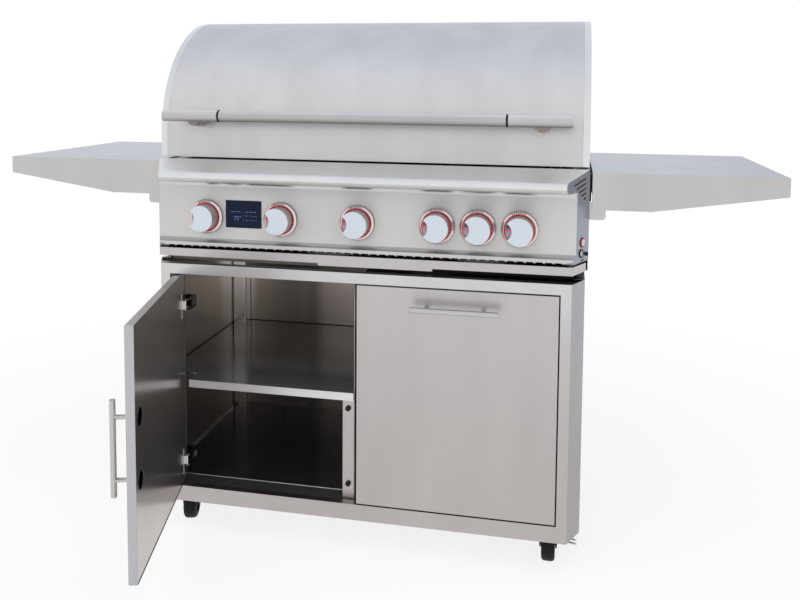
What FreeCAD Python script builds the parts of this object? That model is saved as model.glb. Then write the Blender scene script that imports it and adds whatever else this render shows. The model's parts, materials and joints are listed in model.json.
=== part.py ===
import FreeCAD, Part
import math
import os
import Sketcher

# Gas grill cart: a sheet-steel cabinet on casters under a five-burner grill head with a hinged hood.
# Millimetres. The origin is on the floor, on the centre plane, in the plane of the cabinet's front face.
# +Z is up, +Y runs from the front to the back and +X is the right-hand side seen from the front.

doc = FreeCAD.newDocument("grill_cart")
sheet = doc.addObject("Spreadsheet::Sheet", "sizes")

# Driving dimensions
DRIVING = {
    # cabinet
    "ground_clearance": 70.0,
    "cabinet_height": 569.0,
    "cabinet_depth": 520.0,
    "front_width": 938.0,
    "flare_out": 27.6,
    "flare_depth": 57.0,
    "panel_sheet": 1.5,
    "stile_width": 22.5,
    "top_rail": 24.0,
    "bottom_rail": 37.0,
    "frame_return": 18.0,
    "frame_flange": 20.0,
    "side_flange": 22.0,
    "floor_height": 35.0,
    "base_skirt": 27.0,
    "reveal": 3.0,
    "rear_post": 40.0,
    "front_post": 20.0,
    "vent_length": 110.0,
    "vent_width": 8.0,
    "vent_pitch": 22.0,
    "vent_drop": 70.0,
    "bottle_vent_drop": 160.0,
    "vent_offset": 220.0,
    "shelf_height": 287.0,
    "shelf_setback": 20.0,
    "shelf_lip": 18.0,
    "door_sweep_gap": 8.0,
    "divider_left": 10.0,
    "center_post_width": 27.0,
    "center_post_depth": 25.0,
    "center_post_setback": 24.0,
    "bumper_diameter": 12.0,
    "bumper_length": 5.4,
    "bumper_inset": 38.0,
    # door and drawer
    "front_thickness": 18.0,
    "front_sheet": 1.2,
    "inner_recess": 1.0,
    "inner_margin": 0.5,
    "door_open_angle": 76.0,
    "pivot_in": 23.0,
    "pivot_back": 22.5,
    "access_hole": 35.0,
    "handle_length": 192.0,
    "handle_diameter": 12.0,
    "handle_post": 9.0,
    "handle_post_spacing": 124.0,
    "handle_standoff": 35.0,
    "handle_inset": 38.0,
    "hinge_high": 465.0,
    "hinge_low": 90.0,
    "hinge_plate_height": 60.0,
    "hinge_plate_width": 24.0,
    "hinge_plate": 1.0,
    "hinge_pin": 4.0,
    "hinge_knuckle": 6.4,
    "knuckle_height": 20.0,
    "hinge_ear": 4.0,
    "hinge_neck_offset": 0.5,
    "hinge_neck": 6.0,
    "hinge_neck_length": 40.0,
    "hinge_foot": 43.0,
    "hinge_foot_height": 44.0,
    "hinge_foot_sheet": 3.0,
    "tray_margin": 28.5,
    "tray_wall": 60.0,
    "tray_depth": 448.0,
    "tray_height": 58.0,
    "tank_ring": 210.0,
    "tank_ring_height": 12.0,
    "slide_length": 430.0,
    "slide_setback": 22.0,
    "slide_width": 30.0,
    "slide_sheet": 1.5,
    "slide_wall": 16.0,
    "slide_inset": 50.0,
    # casters
    "wheel_diameter": 75.0,
    "wheel_width": 30.0,
    "caster_trail": 12.0,
    "caster_inset": 66.6,
    "caster_setback": 72.0,
    "caster_plate": 60.0,
    "caster_plate_sheet": 4.0,
    "caster_turn": 14.0,
    "axle_diameter": 8.0,
    "fork_sheet": 4.0,
    "fork_leg": 24.0,
    "king_pin": 12.0,
    # grill head
    "head_gap": 19.5,
    "head_height": 215.5,
    "head_front": 64.0,
    "head_overhang": 2.5,
    "head_rear": 546.5,
    "head_flange": 40.0,
    "panel_face": 11.0,
    "lip_height": 10.5,
    "lip_drop": 22.5,
    "lip_slope": 8.5,
    "face_top": 174.5,
    "nose_radius": 13.0,
    "nose_reach": 32.0,
    "panel_back_rise": 18.5,
    "louvre_width": 2.6,
    "louvre_pitch": 10.5,
    "louvre_length": 56.6,
    "louvre_step": 11.6,
    "louvre_drop": 17.2,
    "louvre_rear_margin": 17.0,
    "louvre_slope": 11.1,
    "lip_vent_length": 14.0,
    "lip_vent_margin": 31.5,
    "lip_vent_height": 3.0,
    "lip_vent_depth": 12.0,
    "lip_vent_count": 45.0,
    "knob_margin": 114.0,
    "knob_height": 92.0,
    "knob_diameter": 60.0,
    "knob_length": 38.0,
    "knob_gap": 2.0,
    "scoop_radius": 20.0,
    "scoop_offset": 35.0,
    "scoop_depth": 24.0,
    "bezel_diameter": 79.0,
    "bezel_height": 9.0,
    "bezel_chamfer": 5.0,
    "bezel_gap": 1.8,
    "stem_diameter": 8.0,
    "stem_length": 18.0,
    "stem_hole": 20.0,
    "valve_width": 26.0,
    "valve_length": 36.0,
    "valve_height": 34.0,
    "manifold_width": 20.0,
    "manifold_rise": 12.0,
    "outlet_width": 12.0,
    "screen_width": 86.0,
    "screen_height": 63.0,
    "screen_border": 2.5,
    "screen_middle": 100.0,
    "screen_proud": 1.2,
    "screen_depth": 8.0,
    "button_diameter": 16.0,
    "button_length": 14.0,
    "button_proud": 3.0,
    "button_height": 65.5,
    "button_rear_margin": 28.0,
    # firebox and what it holds
    "firebox_side_gap": 35.0,
    "firebox_front": 92.0,
    "firebox_rear": 470.0,
    "firebox_floor": 66.5,
    "firebox_corner": 101.5,
    "grease_gap": 90.0,
    "rear_wall_rise": 125.0,
    "flange_rear": 530.0,
    "flange_drop": 3.0,
    "burner_diameter": 32.0,
    "burner_wall": 2.0,
    "burner_height": 135.0,
    "burner_length": 352.0,
    "tamer_width": 150.0,
    "tamer_height": 26.0,
    "tamer_level": 162.0,
    "grate_bars": 9.0,
    "grate_bar": 8.0,
    "grate_gap": 3.0,
    "grate_level": 205.0,
    "cross_bar": 10.0,
    "cross_bar_inset": 60.0,
    "rear_burner_width": 520.0,
    "rear_burner_height": 90.0,
    "rear_burner_depth": 30.0,
    "rear_burner_lip": 12.0,
    "rear_burner_recess": 24.0,
    "rear_burner_level": 257.0,
    "rack_height": 360.0,
    "rack_depth": 100.0,
    "rack_setback": 330.0,
    "rack_rod": 7.0,
    "rack_cross_count": 13.0,
    # hood
    "hood_inset": 1.0,
    "hood_front": 74.0,
    "hood_depth": 486.0,
    "hood_lift": 222.5,
    "hood_skirt": 45.0,
    "hood_radius": 287.0,
    "hood_rear_radius": 90.0,
    "hood_sheet": 1.5,
    "end_trim": 15.0,
    "end_plate": 2.0,
    "pivot_forward": 60.0,
    "pivot_rise": 60.0,
    "hood_pin": 12.0,
    "hood_boss": 28.0,
    "liner_gap": 22.0,
    "liner_foot": 12.0,
    "liner_rear": 30.0,
    "hood_bracket": 6.0,
    "hood_bracket_width": 24.0,
    "hood_bracket_inset": 4.5,
    "bar_end_inset": 37.5,
    "bar_diameter": 27.0,
    "bar_height": 101.0,
    "bar_standoff": 59.0,
    "ring_inset": 174.5,
    "ring_width": 4.0,
    "ring_proud": 0.4,
    "bar_post_inset": 109.5,
    "bar_post": 20.0,
    "grip_recess": 0.5,
    # drip tray
    "rail_height": 18.3,
    "rail_front": 4.0,
    "rail_sheet": 1.5,
    "drip_wall": 14.0,
    "drip_rear": 500.0,
    "drip_shoulder": 24.0,
    # side shelves
    "side_gap": 5.5,
    "side_length": 400.0,
    "side_front": 74.4,
    "side_depth": 513.0,
    "side_top_drop": 4.3,
    "side_inner": 81.0,
    "side_outer": 40.0,
    "side_knee": 125.0,
    "side_sheet": 1.5,
    "side_end_wall": 50.0,
    "side_pivot_in": 16.0,
    "side_pivot_up": 8.0,
    "side_bracket": 3.0,
    "side_bracket_reach": 35.0,
    "side_bracket_drop": 22.0,
    "side_bracket_round": 8.0,
    "side_pin": 8.0,
    "side_lug": 24.0,
    "side_lug_gap": 0.4,
    "side_lug_setback": 4.0,
    # clearances
    "running": 0.05,
    "sliding": 0.5,
}


class Size:
    """A length in millimetres together with the sheet formula that gives it."""

    def __init__(self, value, text):
        self.value = value
        self.text = text

    def __add__(self, other):
        other = size(other)
        return Size(self.value + other.value, f"({self.text} + {other.text})")

    def __sub__(self, other):
        other = size(other)
        return Size(self.value - other.value, f"({self.text} - {other.text})")

    def __mul__(self, other):
        other = size(other)
        return Size(self.value * other.value, f"({self.text} * {other.text})")

    def __truediv__(self, other):
        other = size(other)
        return Size(self.value / other.value, f"({self.text} / {other.text})")

    def __neg__(self):
        return Size(-self.value, f"(0 - {self.text})")

    def __radd__(self, other):
        return size(other) + self

    def __rsub__(self, other):
        return size(other) - self

    def __rmul__(self, other):
        return size(other) * self


def size(number):
    return number if isinstance(number, Size) else Size(float(number), f"({float(number)!r})")


def angle_function(name, angle):
    return Size(getattr(math, name)(math.radians(angle.value)), f"{name}({angle.text})")


def root(number):
    return Size(math.sqrt(number.value), f"sqrt({number.text})")


class Sheet:
    """The cells of the sheet, read by name."""


s = Sheet()
for row, (name, value) in enumerate(DRIVING.items(), start=1):
    sheet.set(f"A{row}", repr(value))
    sheet.setAlias(f"A{row}", name)
    setattr(s, name, Size(value, f"sizes.{name}"))
doc.recompute()

# Directions of a primitive's own Z axis
ALONG_X = FreeCAD.Rotation(FreeCAD.Vector(0, 1, 0), 90)
ALONG_Y = FreeCAD.Rotation(FreeCAD.Vector(1, 0, 0), -90)
ALONG_Z = FreeCAD.Rotation()
PLANES = {"XY": "XY_Plane", "XZ": "XZ_Plane", "YZ": "YZ_Plane"}


def bind(target, **properties):
    for name, value in properties.items():
        target.setExpression(name, size(value).text)


def place(target, x=0, y=0, z=0):
    for axis, value in zip("xyz", (x, y, z)):
        target.setExpression(f"Placement.Base.{axis}", size(value).text)
    return target


def box(low, high, name="plate"):
    plate = doc.addObject("Part::Box", name)
    low, high = [size(v) for v in low], [size(v) for v in high]
    bind(plate, Length=high[0] - low[0], Width=high[1] - low[1], Height=high[2] - low[2])
    return place(plate, *low)


def cylinder(base, diameter, length, direction=ALONG_Z, name="round"):
    rod = doc.addObject("Part::Cylinder", name)
    rod.Placement = FreeCAD.Placement(FreeCAD.Vector(), direction)
    bind(rod, Radius=size(diameter) / 2, Height=length)
    return place(rod, *base)


def hexagon_bar(base, across_flats, length, direction=ALONG_Z, name="hexagon"):
    bar = doc.addObject("Part::Prism", name)
    bar.Polygon = 6
    bar.Placement = FreeCAD.Placement(FreeCAD.Vector(), direction)
    bind(bar, Circumradius=size(across_flats) / root(size(3)), Height=length)
    return place(bar, *base)


def fuse(*shapes, name="joined"):
    joined = doc.addObject("Part::MultiFuse", name)
    joined.Shapes = list(shapes)
    return joined


def cut(base, *tools, name="cut"):
    result = doc.addObject("Part::Cut", name)
    result.Base = base
    result.Tool = tools[0] if len(tools) == 1 else group(*tools)
    return result


def group(*shapes, name="group"):
    together = doc.addObject("Part::Compound", name)
    together.Links = list(shapes)
    return together


def mirrored(shape, name="mirrored"):
    other = doc.addObject("Part::Mirroring", name)
    other.Source = shape
    other.Base = FreeCAD.Vector(0, 0, 0)
    other.Normal = FreeCAD.Vector(1, 0, 0)
    return other


def pair(shape):
    """The right-hand piece and its mirror image on the left."""
    return group(shape, mirrored(shape))


class Arc:
    """An outline step: a round stretch about a centre to the next point, counter-clockwise or not."""

    def __init__(self, center, ccw):
        self.center = [size(v) for v in center]
        self.ccw = ccw


def corners_and_arcs(outline):
    corners, arcs = [], {}
    for step in outline:
        if isinstance(step, Arc):
            arcs[len(corners) - 1] = step
        else:
            corners.append([size(v) for v in step])
    return corners, arcs


def draw_outline(sketch, outline):
    """Adds a closed outline of straight and round stretches, each corner bound to its sizes."""
    corners, arcs = corners_and_arcs(outline)
    count = len(corners)
    first = sketch.GeometryCount
    starts, ends, free_axis = {}, {}, {}
    for i in range(count):
        a = FreeCAD.Vector(corners[i][0].value, corners[i][1].value, 0)
        b = FreeCAD.Vector(corners[(i + 1) % count][0].value, corners[(i + 1) % count][1].value, 0)
        starts[i], ends[i] = 1, 2
        if i not in arcs:
            sketch.addGeometry(Part.LineSegment(a, b), False)
            continue
        center = FreeCAD.Vector(arcs[i].center[0].value, arcs[i].center[1].value, 0)
        angles = [math.atan2(p.y - center.y, p.x - center.x) for p in (a, b)]
        if not arcs[i].ccw:
            angles.reverse()
            starts[i], ends[i] = 2, 1
        circle = Part.Circle(center, FreeCAD.Vector(0, 0, 1), (a - center).Length)
        sketch.addGeometry(Part.ArcOfCircle(circle, *angles), False)
        end = (b - center).normalize()
        free_axis[(i + 1) % count] = 1 if abs(end.y) > abs(end.x) else 0
    for i in range(count):
        after = (i + 1) % count
        joint = Sketcher.Constraint("Coincident", first + i, ends[i], first + after, starts[after])
        sketch.addConstraint(joint)
    for i in range(count):
        for axis, kind in enumerate(("DistanceX", "DistanceY")):
            if free_axis.get(i) == axis:
                continue
            value = corners[i][axis]
            index = sketch.addConstraint(Sketcher.Constraint(kind, -1, 1, first + i, starts[i], value.value))
            sketch.setExpression(f"Constraints[{index}]", value.text)
    for i, arc in arcs.items():
        for value, kind in zip(arc.center, ("DistanceX", "DistanceY")):
            index = sketch.addConstraint(Sketcher.Constraint(kind, -1, 1, first + i, 3, value.value))
            sketch.setExpression(f"Constraints[{index}]", value.text)


def new_sketch(body, plane, start, outlines):
    sketch = body.newObject("Sketcher::SketchObject", "outline")
    origin_plane = [o for o in body.Origin.OriginFeatures if o.Role == PLANES[plane]][0]
    sketch.AttachmentSupport = [(origin_plane, "")]
    sketch.MapMode = "FlatFace"
    offset = -size(start) if plane == "XZ" else size(start)
    sketch.setExpression("AttachmentOffset.Base.z", offset.text)
    for outline in outlines:
        draw_outline(sketch, outline)
    return sketch


def prism(plane, outline, start, end, holes=(), name="profile"):
    """A closed outline in a plane, padded along that plane's axis from start to end."""
    body = doc.addObject("PartDesign::Body", name)
    sketch = new_sketch(body, plane, start, [outline, *holes])
    pad = body.newObject("PartDesign::Pad", "pad")
    pad.Profile = sketch
    pad.Reversed = plane == "XZ"
    bind(pad, Length=size(end) - size(start))
    return body


def turned(outline, name="turned"):
    """An outline of (radius, distance along Y) turned about the Y axis."""
    body = doc.addObject("PartDesign::Body", name)
    sketch = new_sketch(body, "XY", 0, [outline])
    turn = body.newObject("PartDesign::Revolution", "turn")
    turn.Profile = sketch
    turn.ReferenceAxis = (sketch, ["V_Axis"])
    turn.Angle = 360
    return body


nodes = []


def node(name, shape):
    shape.Label = name
    nodes.append(shape)
    return shape


# Levels and half widths that several pieces share
half_front = s.front_width / 2
half_body = half_front + s.flare_out
flare = s.flare_out / s.flare_depth
flare_angle = Size(math.degrees(math.atan(flare.value)), f"atan({flare.text})")
flare_cos = angle_function("cos", flare_angle)
flare_sin = angle_function("sin", flare_angle)
fold_turn = Size((90.0 - flare_angle.value) / 2, f"((90 deg - atan({flare.text})) / 2)")
fold_inset = s.panel_sheet * angle_function("tan", fold_turn)
flare_inset = s.panel_sheet / flare_cos
inner_half = half_body - flare_inset
cabinet_bottom = s.ground_clearance
cabinet_top = cabinet_bottom + s.cabinet_height
floor_top = cabinet_bottom + s.floor_height
opening_half = half_front - s.stile_width
opening_low = cabinet_bottom + s.bottom_rail
opening_high = cabinet_top - s.top_rail
back_inner = s.cabinet_depth - s.panel_sheet
head_bottom = cabinet_top + s.head_gap
head_top = head_bottom + s.head_height
head_front_half = half_front + s.head_overhang
head_half = head_front_half + flare * s.head_front
head_inner = head_half - s.panel_sheet
firebox_half = head_inner - s.firebox_side_gap
hood_half = head_half - s.hood_inset
pivot_x = s.reveal + s.pivot_in - opening_half
pivot_y = s.pivot_back


# Cabinet: the front frame is one sheet folded back at both corners, with a window for door and drawer
def cart_front_frame():
    strip = prism("XY", [
        (-half_body, s.flare_depth), (-half_front, 0), (half_front, 0), (half_body, s.flare_depth),
        (inner_half, s.flare_depth), (half_front - fold_inset, s.panel_sheet),
        (fold_inset - half_front, s.panel_sheet), (-inner_half, s.flare_depth),
    ], cabinet_bottom, cabinet_top)
    wall = s.panel_sheet
    window = box((-opening_half, -wall, opening_low), (opening_half, wall * 2, opening_high))
    head_return = box((-opening_half, 0, opening_high), (opening_half, s.frame_return, opening_high + wall))
    sill_return = box((-opening_half, 0, opening_low - wall), (opening_half, s.frame_return, opening_low))
    rear = s.frame_flange
    flange_half = half_front + flare * rear
    flange_outline = [(-half_front, 0), (half_front, 0), (flange_half, rear), (-flange_half, rear)]
    top_flange = prism("XY", flange_outline, cabinet_top - s.panel_sheet, cabinet_top)
    bottom_flange = prism("XY", flange_outline, cabinet_bottom, cabinet_bottom + s.panel_sheet)
    return fuse(cut(strip, window), head_return, sill_return, top_flange, bottom_flange)


def cart_side_panels():
    web = box((half_body - s.panel_sheet, s.flare_depth, cabinet_bottom),
              (half_body, s.cabinet_depth, cabinet_top))
    flange_rear = back_inner - s.rear_post - s.sliding
    flange = box((half_body - s.side_flange, s.flare_depth, cabinet_top - s.panel_sheet),
                 (half_body, flange_rear, cabinet_top))
    return pair(fuse(web, flange))


def vent_slots(top_row, rear, sides):
    """Columns of five slots through a rear panel, left and right of the middle, counted down from a row."""
    slots = []
    for side in sides:
        for row in range(5):
            z = top_row - s.vent_pitch * row
            x = s.vent_offset * side
            low = (x - s.vent_length / 2, rear - s.panel_sheet * 2, z - s.vent_width / 2)
            high = (x + s.vent_length / 2, rear + s.panel_sheet, z + s.vent_width / 2)
            slots.append(box(low, high, "vent"))
    return slots


def cart_back_panel():
    half = half_body - s.panel_sheet
    plate = box((-half, back_inner, cabinet_bottom), (half, s.cabinet_depth, cabinet_top))
    return cut(plate, *vent_slots(cabinet_top - s.bottle_vent_drop, s.cabinet_depth, (1,)))


def plan_outline(front, inset):
    """The cabinet's plan inside its sheet, from a front line to the back panel, drawn in by an inset."""
    nose_half = half_front - fold_inset + flare * (front - s.panel_sheet) - inset
    side = inner_half - inset
    rear = back_inner - inset
    return [(-nose_half, front), (nose_half, front), (side, s.flare_depth), (side, rear), (-side, rear),
            (-side, s.flare_depth)]


def cart_base_pan():
    low = floor_top - s.base_skirt
    pan = prism("XY", plan_outline(s.panel_sheet, 0), low, floor_top)
    hollow = prism("XY", plan_outline(s.panel_sheet * 2, s.panel_sheet), low - 1, floor_top - s.panel_sheet)
    return cut(pan, hollow)


def cart_corner_posts():
    def tube(low, high):
        wall = s.panel_sheet
        hole_low = (low[0] + wall, low[1] + wall, low[2] - 1)
        hole_high = (high[0] - wall, high[1] - wall, high[2] + 1)
        return cut(box(low, high), box(hole_low, hole_high))

    front = tube((inner_half - s.front_post, s.flare_depth, cabinet_top),
                 (inner_half, s.flare_depth + s.front_post, head_bottom))
    rear = tube((inner_half - s.rear_post, back_inner - s.rear_post, floor_top),
                (inner_half, back_inner, head_bottom))
    return group(front, mirrored(front), rear, mirrored(rear))


def cart_divider():
    return box((-s.divider_left, s.center_post_setback, floor_top),
               (s.panel_sheet - s.divider_left, back_inner, cabinet_top - s.top_rail))


shelf_top = cabinet_bottom + s.shelf_height
shelf_under = shelf_top - s.panel_sheet


def cart_center_post():
    left, right = -s.divider_left - s.center_post_width, -s.divider_left
    front = s.center_post_setback
    rear = front + s.center_post_depth
    wall = s.panel_sheet
    return prism("XY", [(left, rear), (left, front), (right, front), (right, rear), (right - wall, rear),
                        (right - wall, front + wall), (left + wall, front + wall), (left + wall, rear)],
                 floor_top, shelf_under)


def door_bumpers():
    x = -s.divider_left - s.center_post_width / 2
    y = s.center_post_setback - s.bumper_length
    levels = (floor_top + s.bumper_inset, shelf_top - s.shelf_lip - s.bumper_inset / 2)
    return group(*[cylinder((x, y, z), s.bumper_diameter, s.bumper_length, ALONG_Y) for z in levels])


def cart_inner_shelf():
    """A shelf with a front lip, its front left corner cut back clear of the door's swinging hinge edge."""
    front = s.shelf_setback
    notch = s.rear_post + s.sliding
    right = -s.divider_left
    sweep = root(s.pivot_in * s.pivot_in + s.pivot_back * s.pivot_back) + s.door_sweep_gap
    left, left_front = pivot_x + s.door_sweep_gap, pivot_y + sweep
    plate = prism("XY", [
        (right, front), (right, back_inner), (notch - inner_half, back_inner),
        (notch - inner_half, back_inner - notch), (-inner_half, back_inner - notch),
        (-inner_half, left_front), (left, left_front), (left, front),
    ], shelf_under, shelf_top)
    lip = box((left, front, shelf_top - s.shelf_lip), (right, front + s.panel_sheet, shelf_top))
    return fuse(plate, lip)


node("cart_front_frame", cart_front_frame())
node("cart_side_panels", cart_side_panels())
node("cart_back_panel", cart_back_panel())
node("cart_base_pan", cart_base_pan())
node("cart_corner_posts", cart_corner_posts())
node("cart_divider", cart_divider())
node("cart_center_post", cart_center_post())
node("door_bumpers", door_bumpers())
node("cart_inner_shelf", cart_inner_shelf())

# Door: built about its hinge axis, then swung open about it
leaf_width = opening_half - s.reveal * 1.5
leaf_low = opening_low + s.reveal
leaf_high = opening_high - s.reveal
door_left = -s.pivot_in
door_right = leaf_width - s.pivot_in
door_face = -s.pivot_back
door_inside = s.front_thickness - s.pivot_back
leaf_middle = (leaf_low + leaf_high) / 2
hinge_levels = (cabinet_bottom + s.hinge_low, cabinet_bottom + s.hinge_high)


def hang(shape):
    """Puts a piece of the door on its hinge axis, swung open."""
    shape.Placement = FreeCAD.Placement(FreeCAD.Vector(), FreeCAD.Rotation(FreeCAD.Vector(0, 0, 1), -1))
    place(shape, pivot_x, pivot_y, 0)
    shape.setExpression("Placement.Rotation.Angle", f"0 - {s.door_open_angle.text}")
    return shape


def pan(low, high):
    """A shallow sheet pan, open towards +Y."""
    wall = s.front_sheet
    hollow = box((low[0] + wall, low[1] + wall, low[2] + wall), (high[0] - wall, high[1] + 1, high[2] - wall))
    return cut(box(low, high), hollow)


def door_panel():
    return hang(group(pan((door_left, door_face, leaf_low), (door_right, door_inside, leaf_high))))


def door_inner_panel():
    edge = s.front_sheet + s.inner_margin
    front, back = door_inside - s.inner_recess - s.front_sheet, door_inside - s.inner_recess
    plate = box((door_left + edge, front, leaf_low + edge), (door_right - edge, back, leaf_high - edge))
    spacer_gap = front - door_face - s.front_sheet
    rib_front = door_face + s.front_sheet
    rib = box((door_left + edge, rib_front, leaf_low + edge),
              (door_left + edge + s.front_sheet, rib_front + spacer_gap, leaf_high - edge))
    holes = []
    for side in (-1, 1):
        z = leaf_middle + s.handle_post_spacing / 2 * side
        holes.append(cylinder((door_right - s.handle_inset, front - 1, z), s.access_hole, s.front_sheet + 2,
                              ALONG_Y))
    return hang(group(cut(fuse(plate, rib), *holes)))


def bar_handle(length_axis, middle, face):
    """A straight bar on two posts: the bar along Z or X, the posts along Y to a face."""
    x, z = middle
    y = face - s.handle_standoff
    along_z = length_axis == "Z"
    shift = [size(0), s.handle_length / 2] if along_z else [s.handle_length / 2, size(0)]
    direction = ALONG_Z if along_z else ALONG_X
    pieces = [cylinder((x - shift[0], y, z - shift[1]), s.handle_diameter, s.handle_length, direction)]
    for side in (-1, 1):
        step = s.handle_post_spacing / 2 * side
        post_x = x if along_z else x + step
        post_z = z + step if along_z else z
        pieces.append(cylinder((post_x, y, post_z), s.handle_post, s.handle_standoff, ALONG_Y))
    return fuse(*pieces)


def door_handle():
    return hang(group(bar_handle("Z", (door_right - s.handle_inset, leaf_middle), door_face)))


def door_hinge_cups():
    pieces = []
    seat = door_inside - s.inner_recess
    for level in hinge_levels:
        half = s.hinge_plate_height / 2
        plate = box((-s.hinge_plate_width / 2, seat, level - half),
                    (s.hinge_plate_width / 2, seat + s.hinge_plate, level + half))
        low = level - s.knuckle_height / 2
        knuckle = cylinder((0, 0, low), s.hinge_knuckle, s.knuckle_height)
        web_half = s.hinge_knuckle / 2
        web = box((-web_half, seat, low), (web_half, 0, low + s.knuckle_height))
        bore = cylinder((0, 0, low - 1), s.hinge_pin + s.running * 2, s.knuckle_height + 2)
        pieces.append(cut(fuse(plate, knuckle, web), bore))
    return hang(group(*pieces))


def door_hinge_arms():
    pieces = []
    neck_left = pivot_x + s.hinge_neck_offset
    neck_right = neck_left + s.hinge_neck
    crank_front = pivot_y + s.hinge_neck_length
    crank_rear = crank_front + s.hinge_neck
    ear_near = s.knuckle_height / 2 + s.sliding / 2
    ear_far = ear_near + s.hinge_ear
    wall = -inner_half
    for level in hinge_levels:
        arm = [cylinder((pivot_x, pivot_y, level - ear_far), s.hinge_pin, ear_far * 2)]
        for low in (level + ear_near, level - ear_far):
            arm.append(cylinder((pivot_x, pivot_y, low), s.hinge_knuckle, s.hinge_ear))
            arm.append(box((neck_left, pivot_y, low), (neck_right, crank_rear, low + s.hinge_ear)))
        arm.append(box((wall, crank_front, level - ear_far), (neck_right, crank_rear, level + ear_far)))
        foot = s.hinge_foot_height / 2
        arm.append(box((wall, crank_front, level - foot),
                       (wall + s.hinge_foot_sheet, crank_front + s.hinge_foot, level + foot)))
        pieces.append(fuse(*arm))
    return group(*pieces)


node("door_panel", door_panel())
node("door_inner_panel", door_inner_panel())
node("door_handle", door_handle())
node("door_hinge_cups", door_hinge_cups())
node("door_hinge_arms", door_hinge_arms())

# Drawer: a front like the door on a tray for the gas bottle, carried on two telescopic slides
drawer_left = s.reveal / 2
drawer_right = drawer_left + leaf_width
drawer_middle = (drawer_left + drawer_right) / 2
tray_bottom = cabinet_bottom + s.tray_height
tray_half = leaf_width / 2 - s.tray_margin
slide_offset = tray_half - s.slide_inset
slide_levels = (drawer_middle - slide_offset, drawer_middle + slide_offset)
slide_front = s.slide_setback
slide_rear = slide_front + s.slide_length


def drawer_front():
    return pan((drawer_left, 0, leaf_low), (drawer_right, s.front_thickness, leaf_high))


def drawer_handle():
    return bar_handle("X", (drawer_middle, leaf_high - s.handle_inset), size(0))


def drawer_tray():
    wall = s.panel_sheet
    left, right = drawer_middle - tray_half, drawer_middle + tray_half
    front, rear = s.front_sheet, s.front_sheet + s.tray_depth
    rim = tray_bottom + s.tray_wall
    shell = box((left, front, tray_bottom), (right, rear, rim))
    hollow = box((left + wall, front + wall, tray_bottom + wall), (right - wall, rear - wall, rim + 1))
    middle_y = (front + rear) / 2
    ring_height = s.tank_ring_height
    ring = cylinder((drawer_middle, middle_y, tray_bottom + wall / 2), s.tank_ring, ring_height)
    ring_hole = cylinder((drawer_middle, middle_y, tray_bottom), s.tank_ring - wall * 4, ring_height * 2)
    floor_part = box((left, front, tray_bottom - 1), (right, rear, tray_bottom + wall))
    return fuse(cut(shell, hollow), cut(ring, cut(ring_hole, floor_part)))


def channel(center, half, low, high):
    """A slide member with two walls, open upwards."""
    wall = s.slide_sheet
    return prism("XZ", [
        (center - half, low), (center + half, low), (center + half, high), (center + half - wall, high),
        (center + half - wall, low + wall), (center - half + wall, low + wall), (center - half + wall, high),
        (center - half, high),
    ], slide_front, slide_rear)


rail_half = s.slide_width / 2
middle_half = rail_half - s.slide_sheet - s.sliding
runner_half = middle_half - s.slide_sheet - s.sliding
middle_low = floor_top + s.slide_sheet + s.sliding * 2
runner_low = middle_low + s.slide_sheet + s.sliding
slide_top = floor_top + s.slide_wall


def drawer_slide_rails():
    return group(*[channel(x, rail_half, floor_top, slide_top) for x in slide_levels])


def drawer_slide_middles():
    return group(*[channel(x, middle_half, middle_low, slide_top) for x in slide_levels])


def drawer_slide_runners():
    return group(*[box((x - runner_half, slide_front, runner_low), (x + runner_half, slide_rear, tray_bottom))
                   for x in slide_levels])


node("drawer_front", drawer_front())
node("drawer_handle", drawer_handle())
node("drawer_tray", drawer_tray())
node("drawer_slide_rails", drawer_slide_rails())
node("drawer_slide_middles", drawer_slide_middles())
node("drawer_slide_runners", drawer_slide_runners())

# Casters: a plate under the base pan, a fork that swivels on its king pin and a wheel on an axle
caster_x = half_body - s.caster_inset
caster_rows = (s.caster_setback, s.cabinet_depth - s.caster_setback)
plate_top = floor_top - s.panel_sheet
plate_under = plate_top - s.caster_plate_sheet
wheel_center = s.wheel_diameter / 2
wheel_top = s.wheel_diameter + s.sliding * 6
fork_top = plate_under - s.sliding
CASTERS = [(side, row, turn) for row, turn in ((0, 1), (1, 0)) for side in (-1, 1)]


def caster_spot(side, row):
    return caster_x * side, caster_rows[row]


def swivel(shape, side, row, turn):
    """Sets a piece of a caster on its king pin; the front left caster stands turned a little."""
    shape.Placement = FreeCAD.Placement(FreeCAD.Vector(), FreeCAD.Rotation(FreeCAD.Vector(0, 0, 1), 1))
    x, y = caster_spot(side, row)
    place(shape, x, y, 0)
    turned_left = 1 if turn and side < 0 else 0
    shape.setExpression("Placement.Rotation.Angle", (s.caster_turn * turned_left).text)
    return shape


def caster_plates():
    pieces = []
    for side, row, turn in CASTERS:
        x, y = caster_spot(side, row)
        half = s.caster_plate / 2
        plate = box((x - half, y - half, plate_under), (x + half, y + half, plate_top))
        pin_low = wheel_top + s.sliding
        pin = cylinder((x, y, pin_low), s.king_pin, plate_top - pin_low)
        pieces.append(fuse(plate, pin))
    return group(*pieces)


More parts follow.
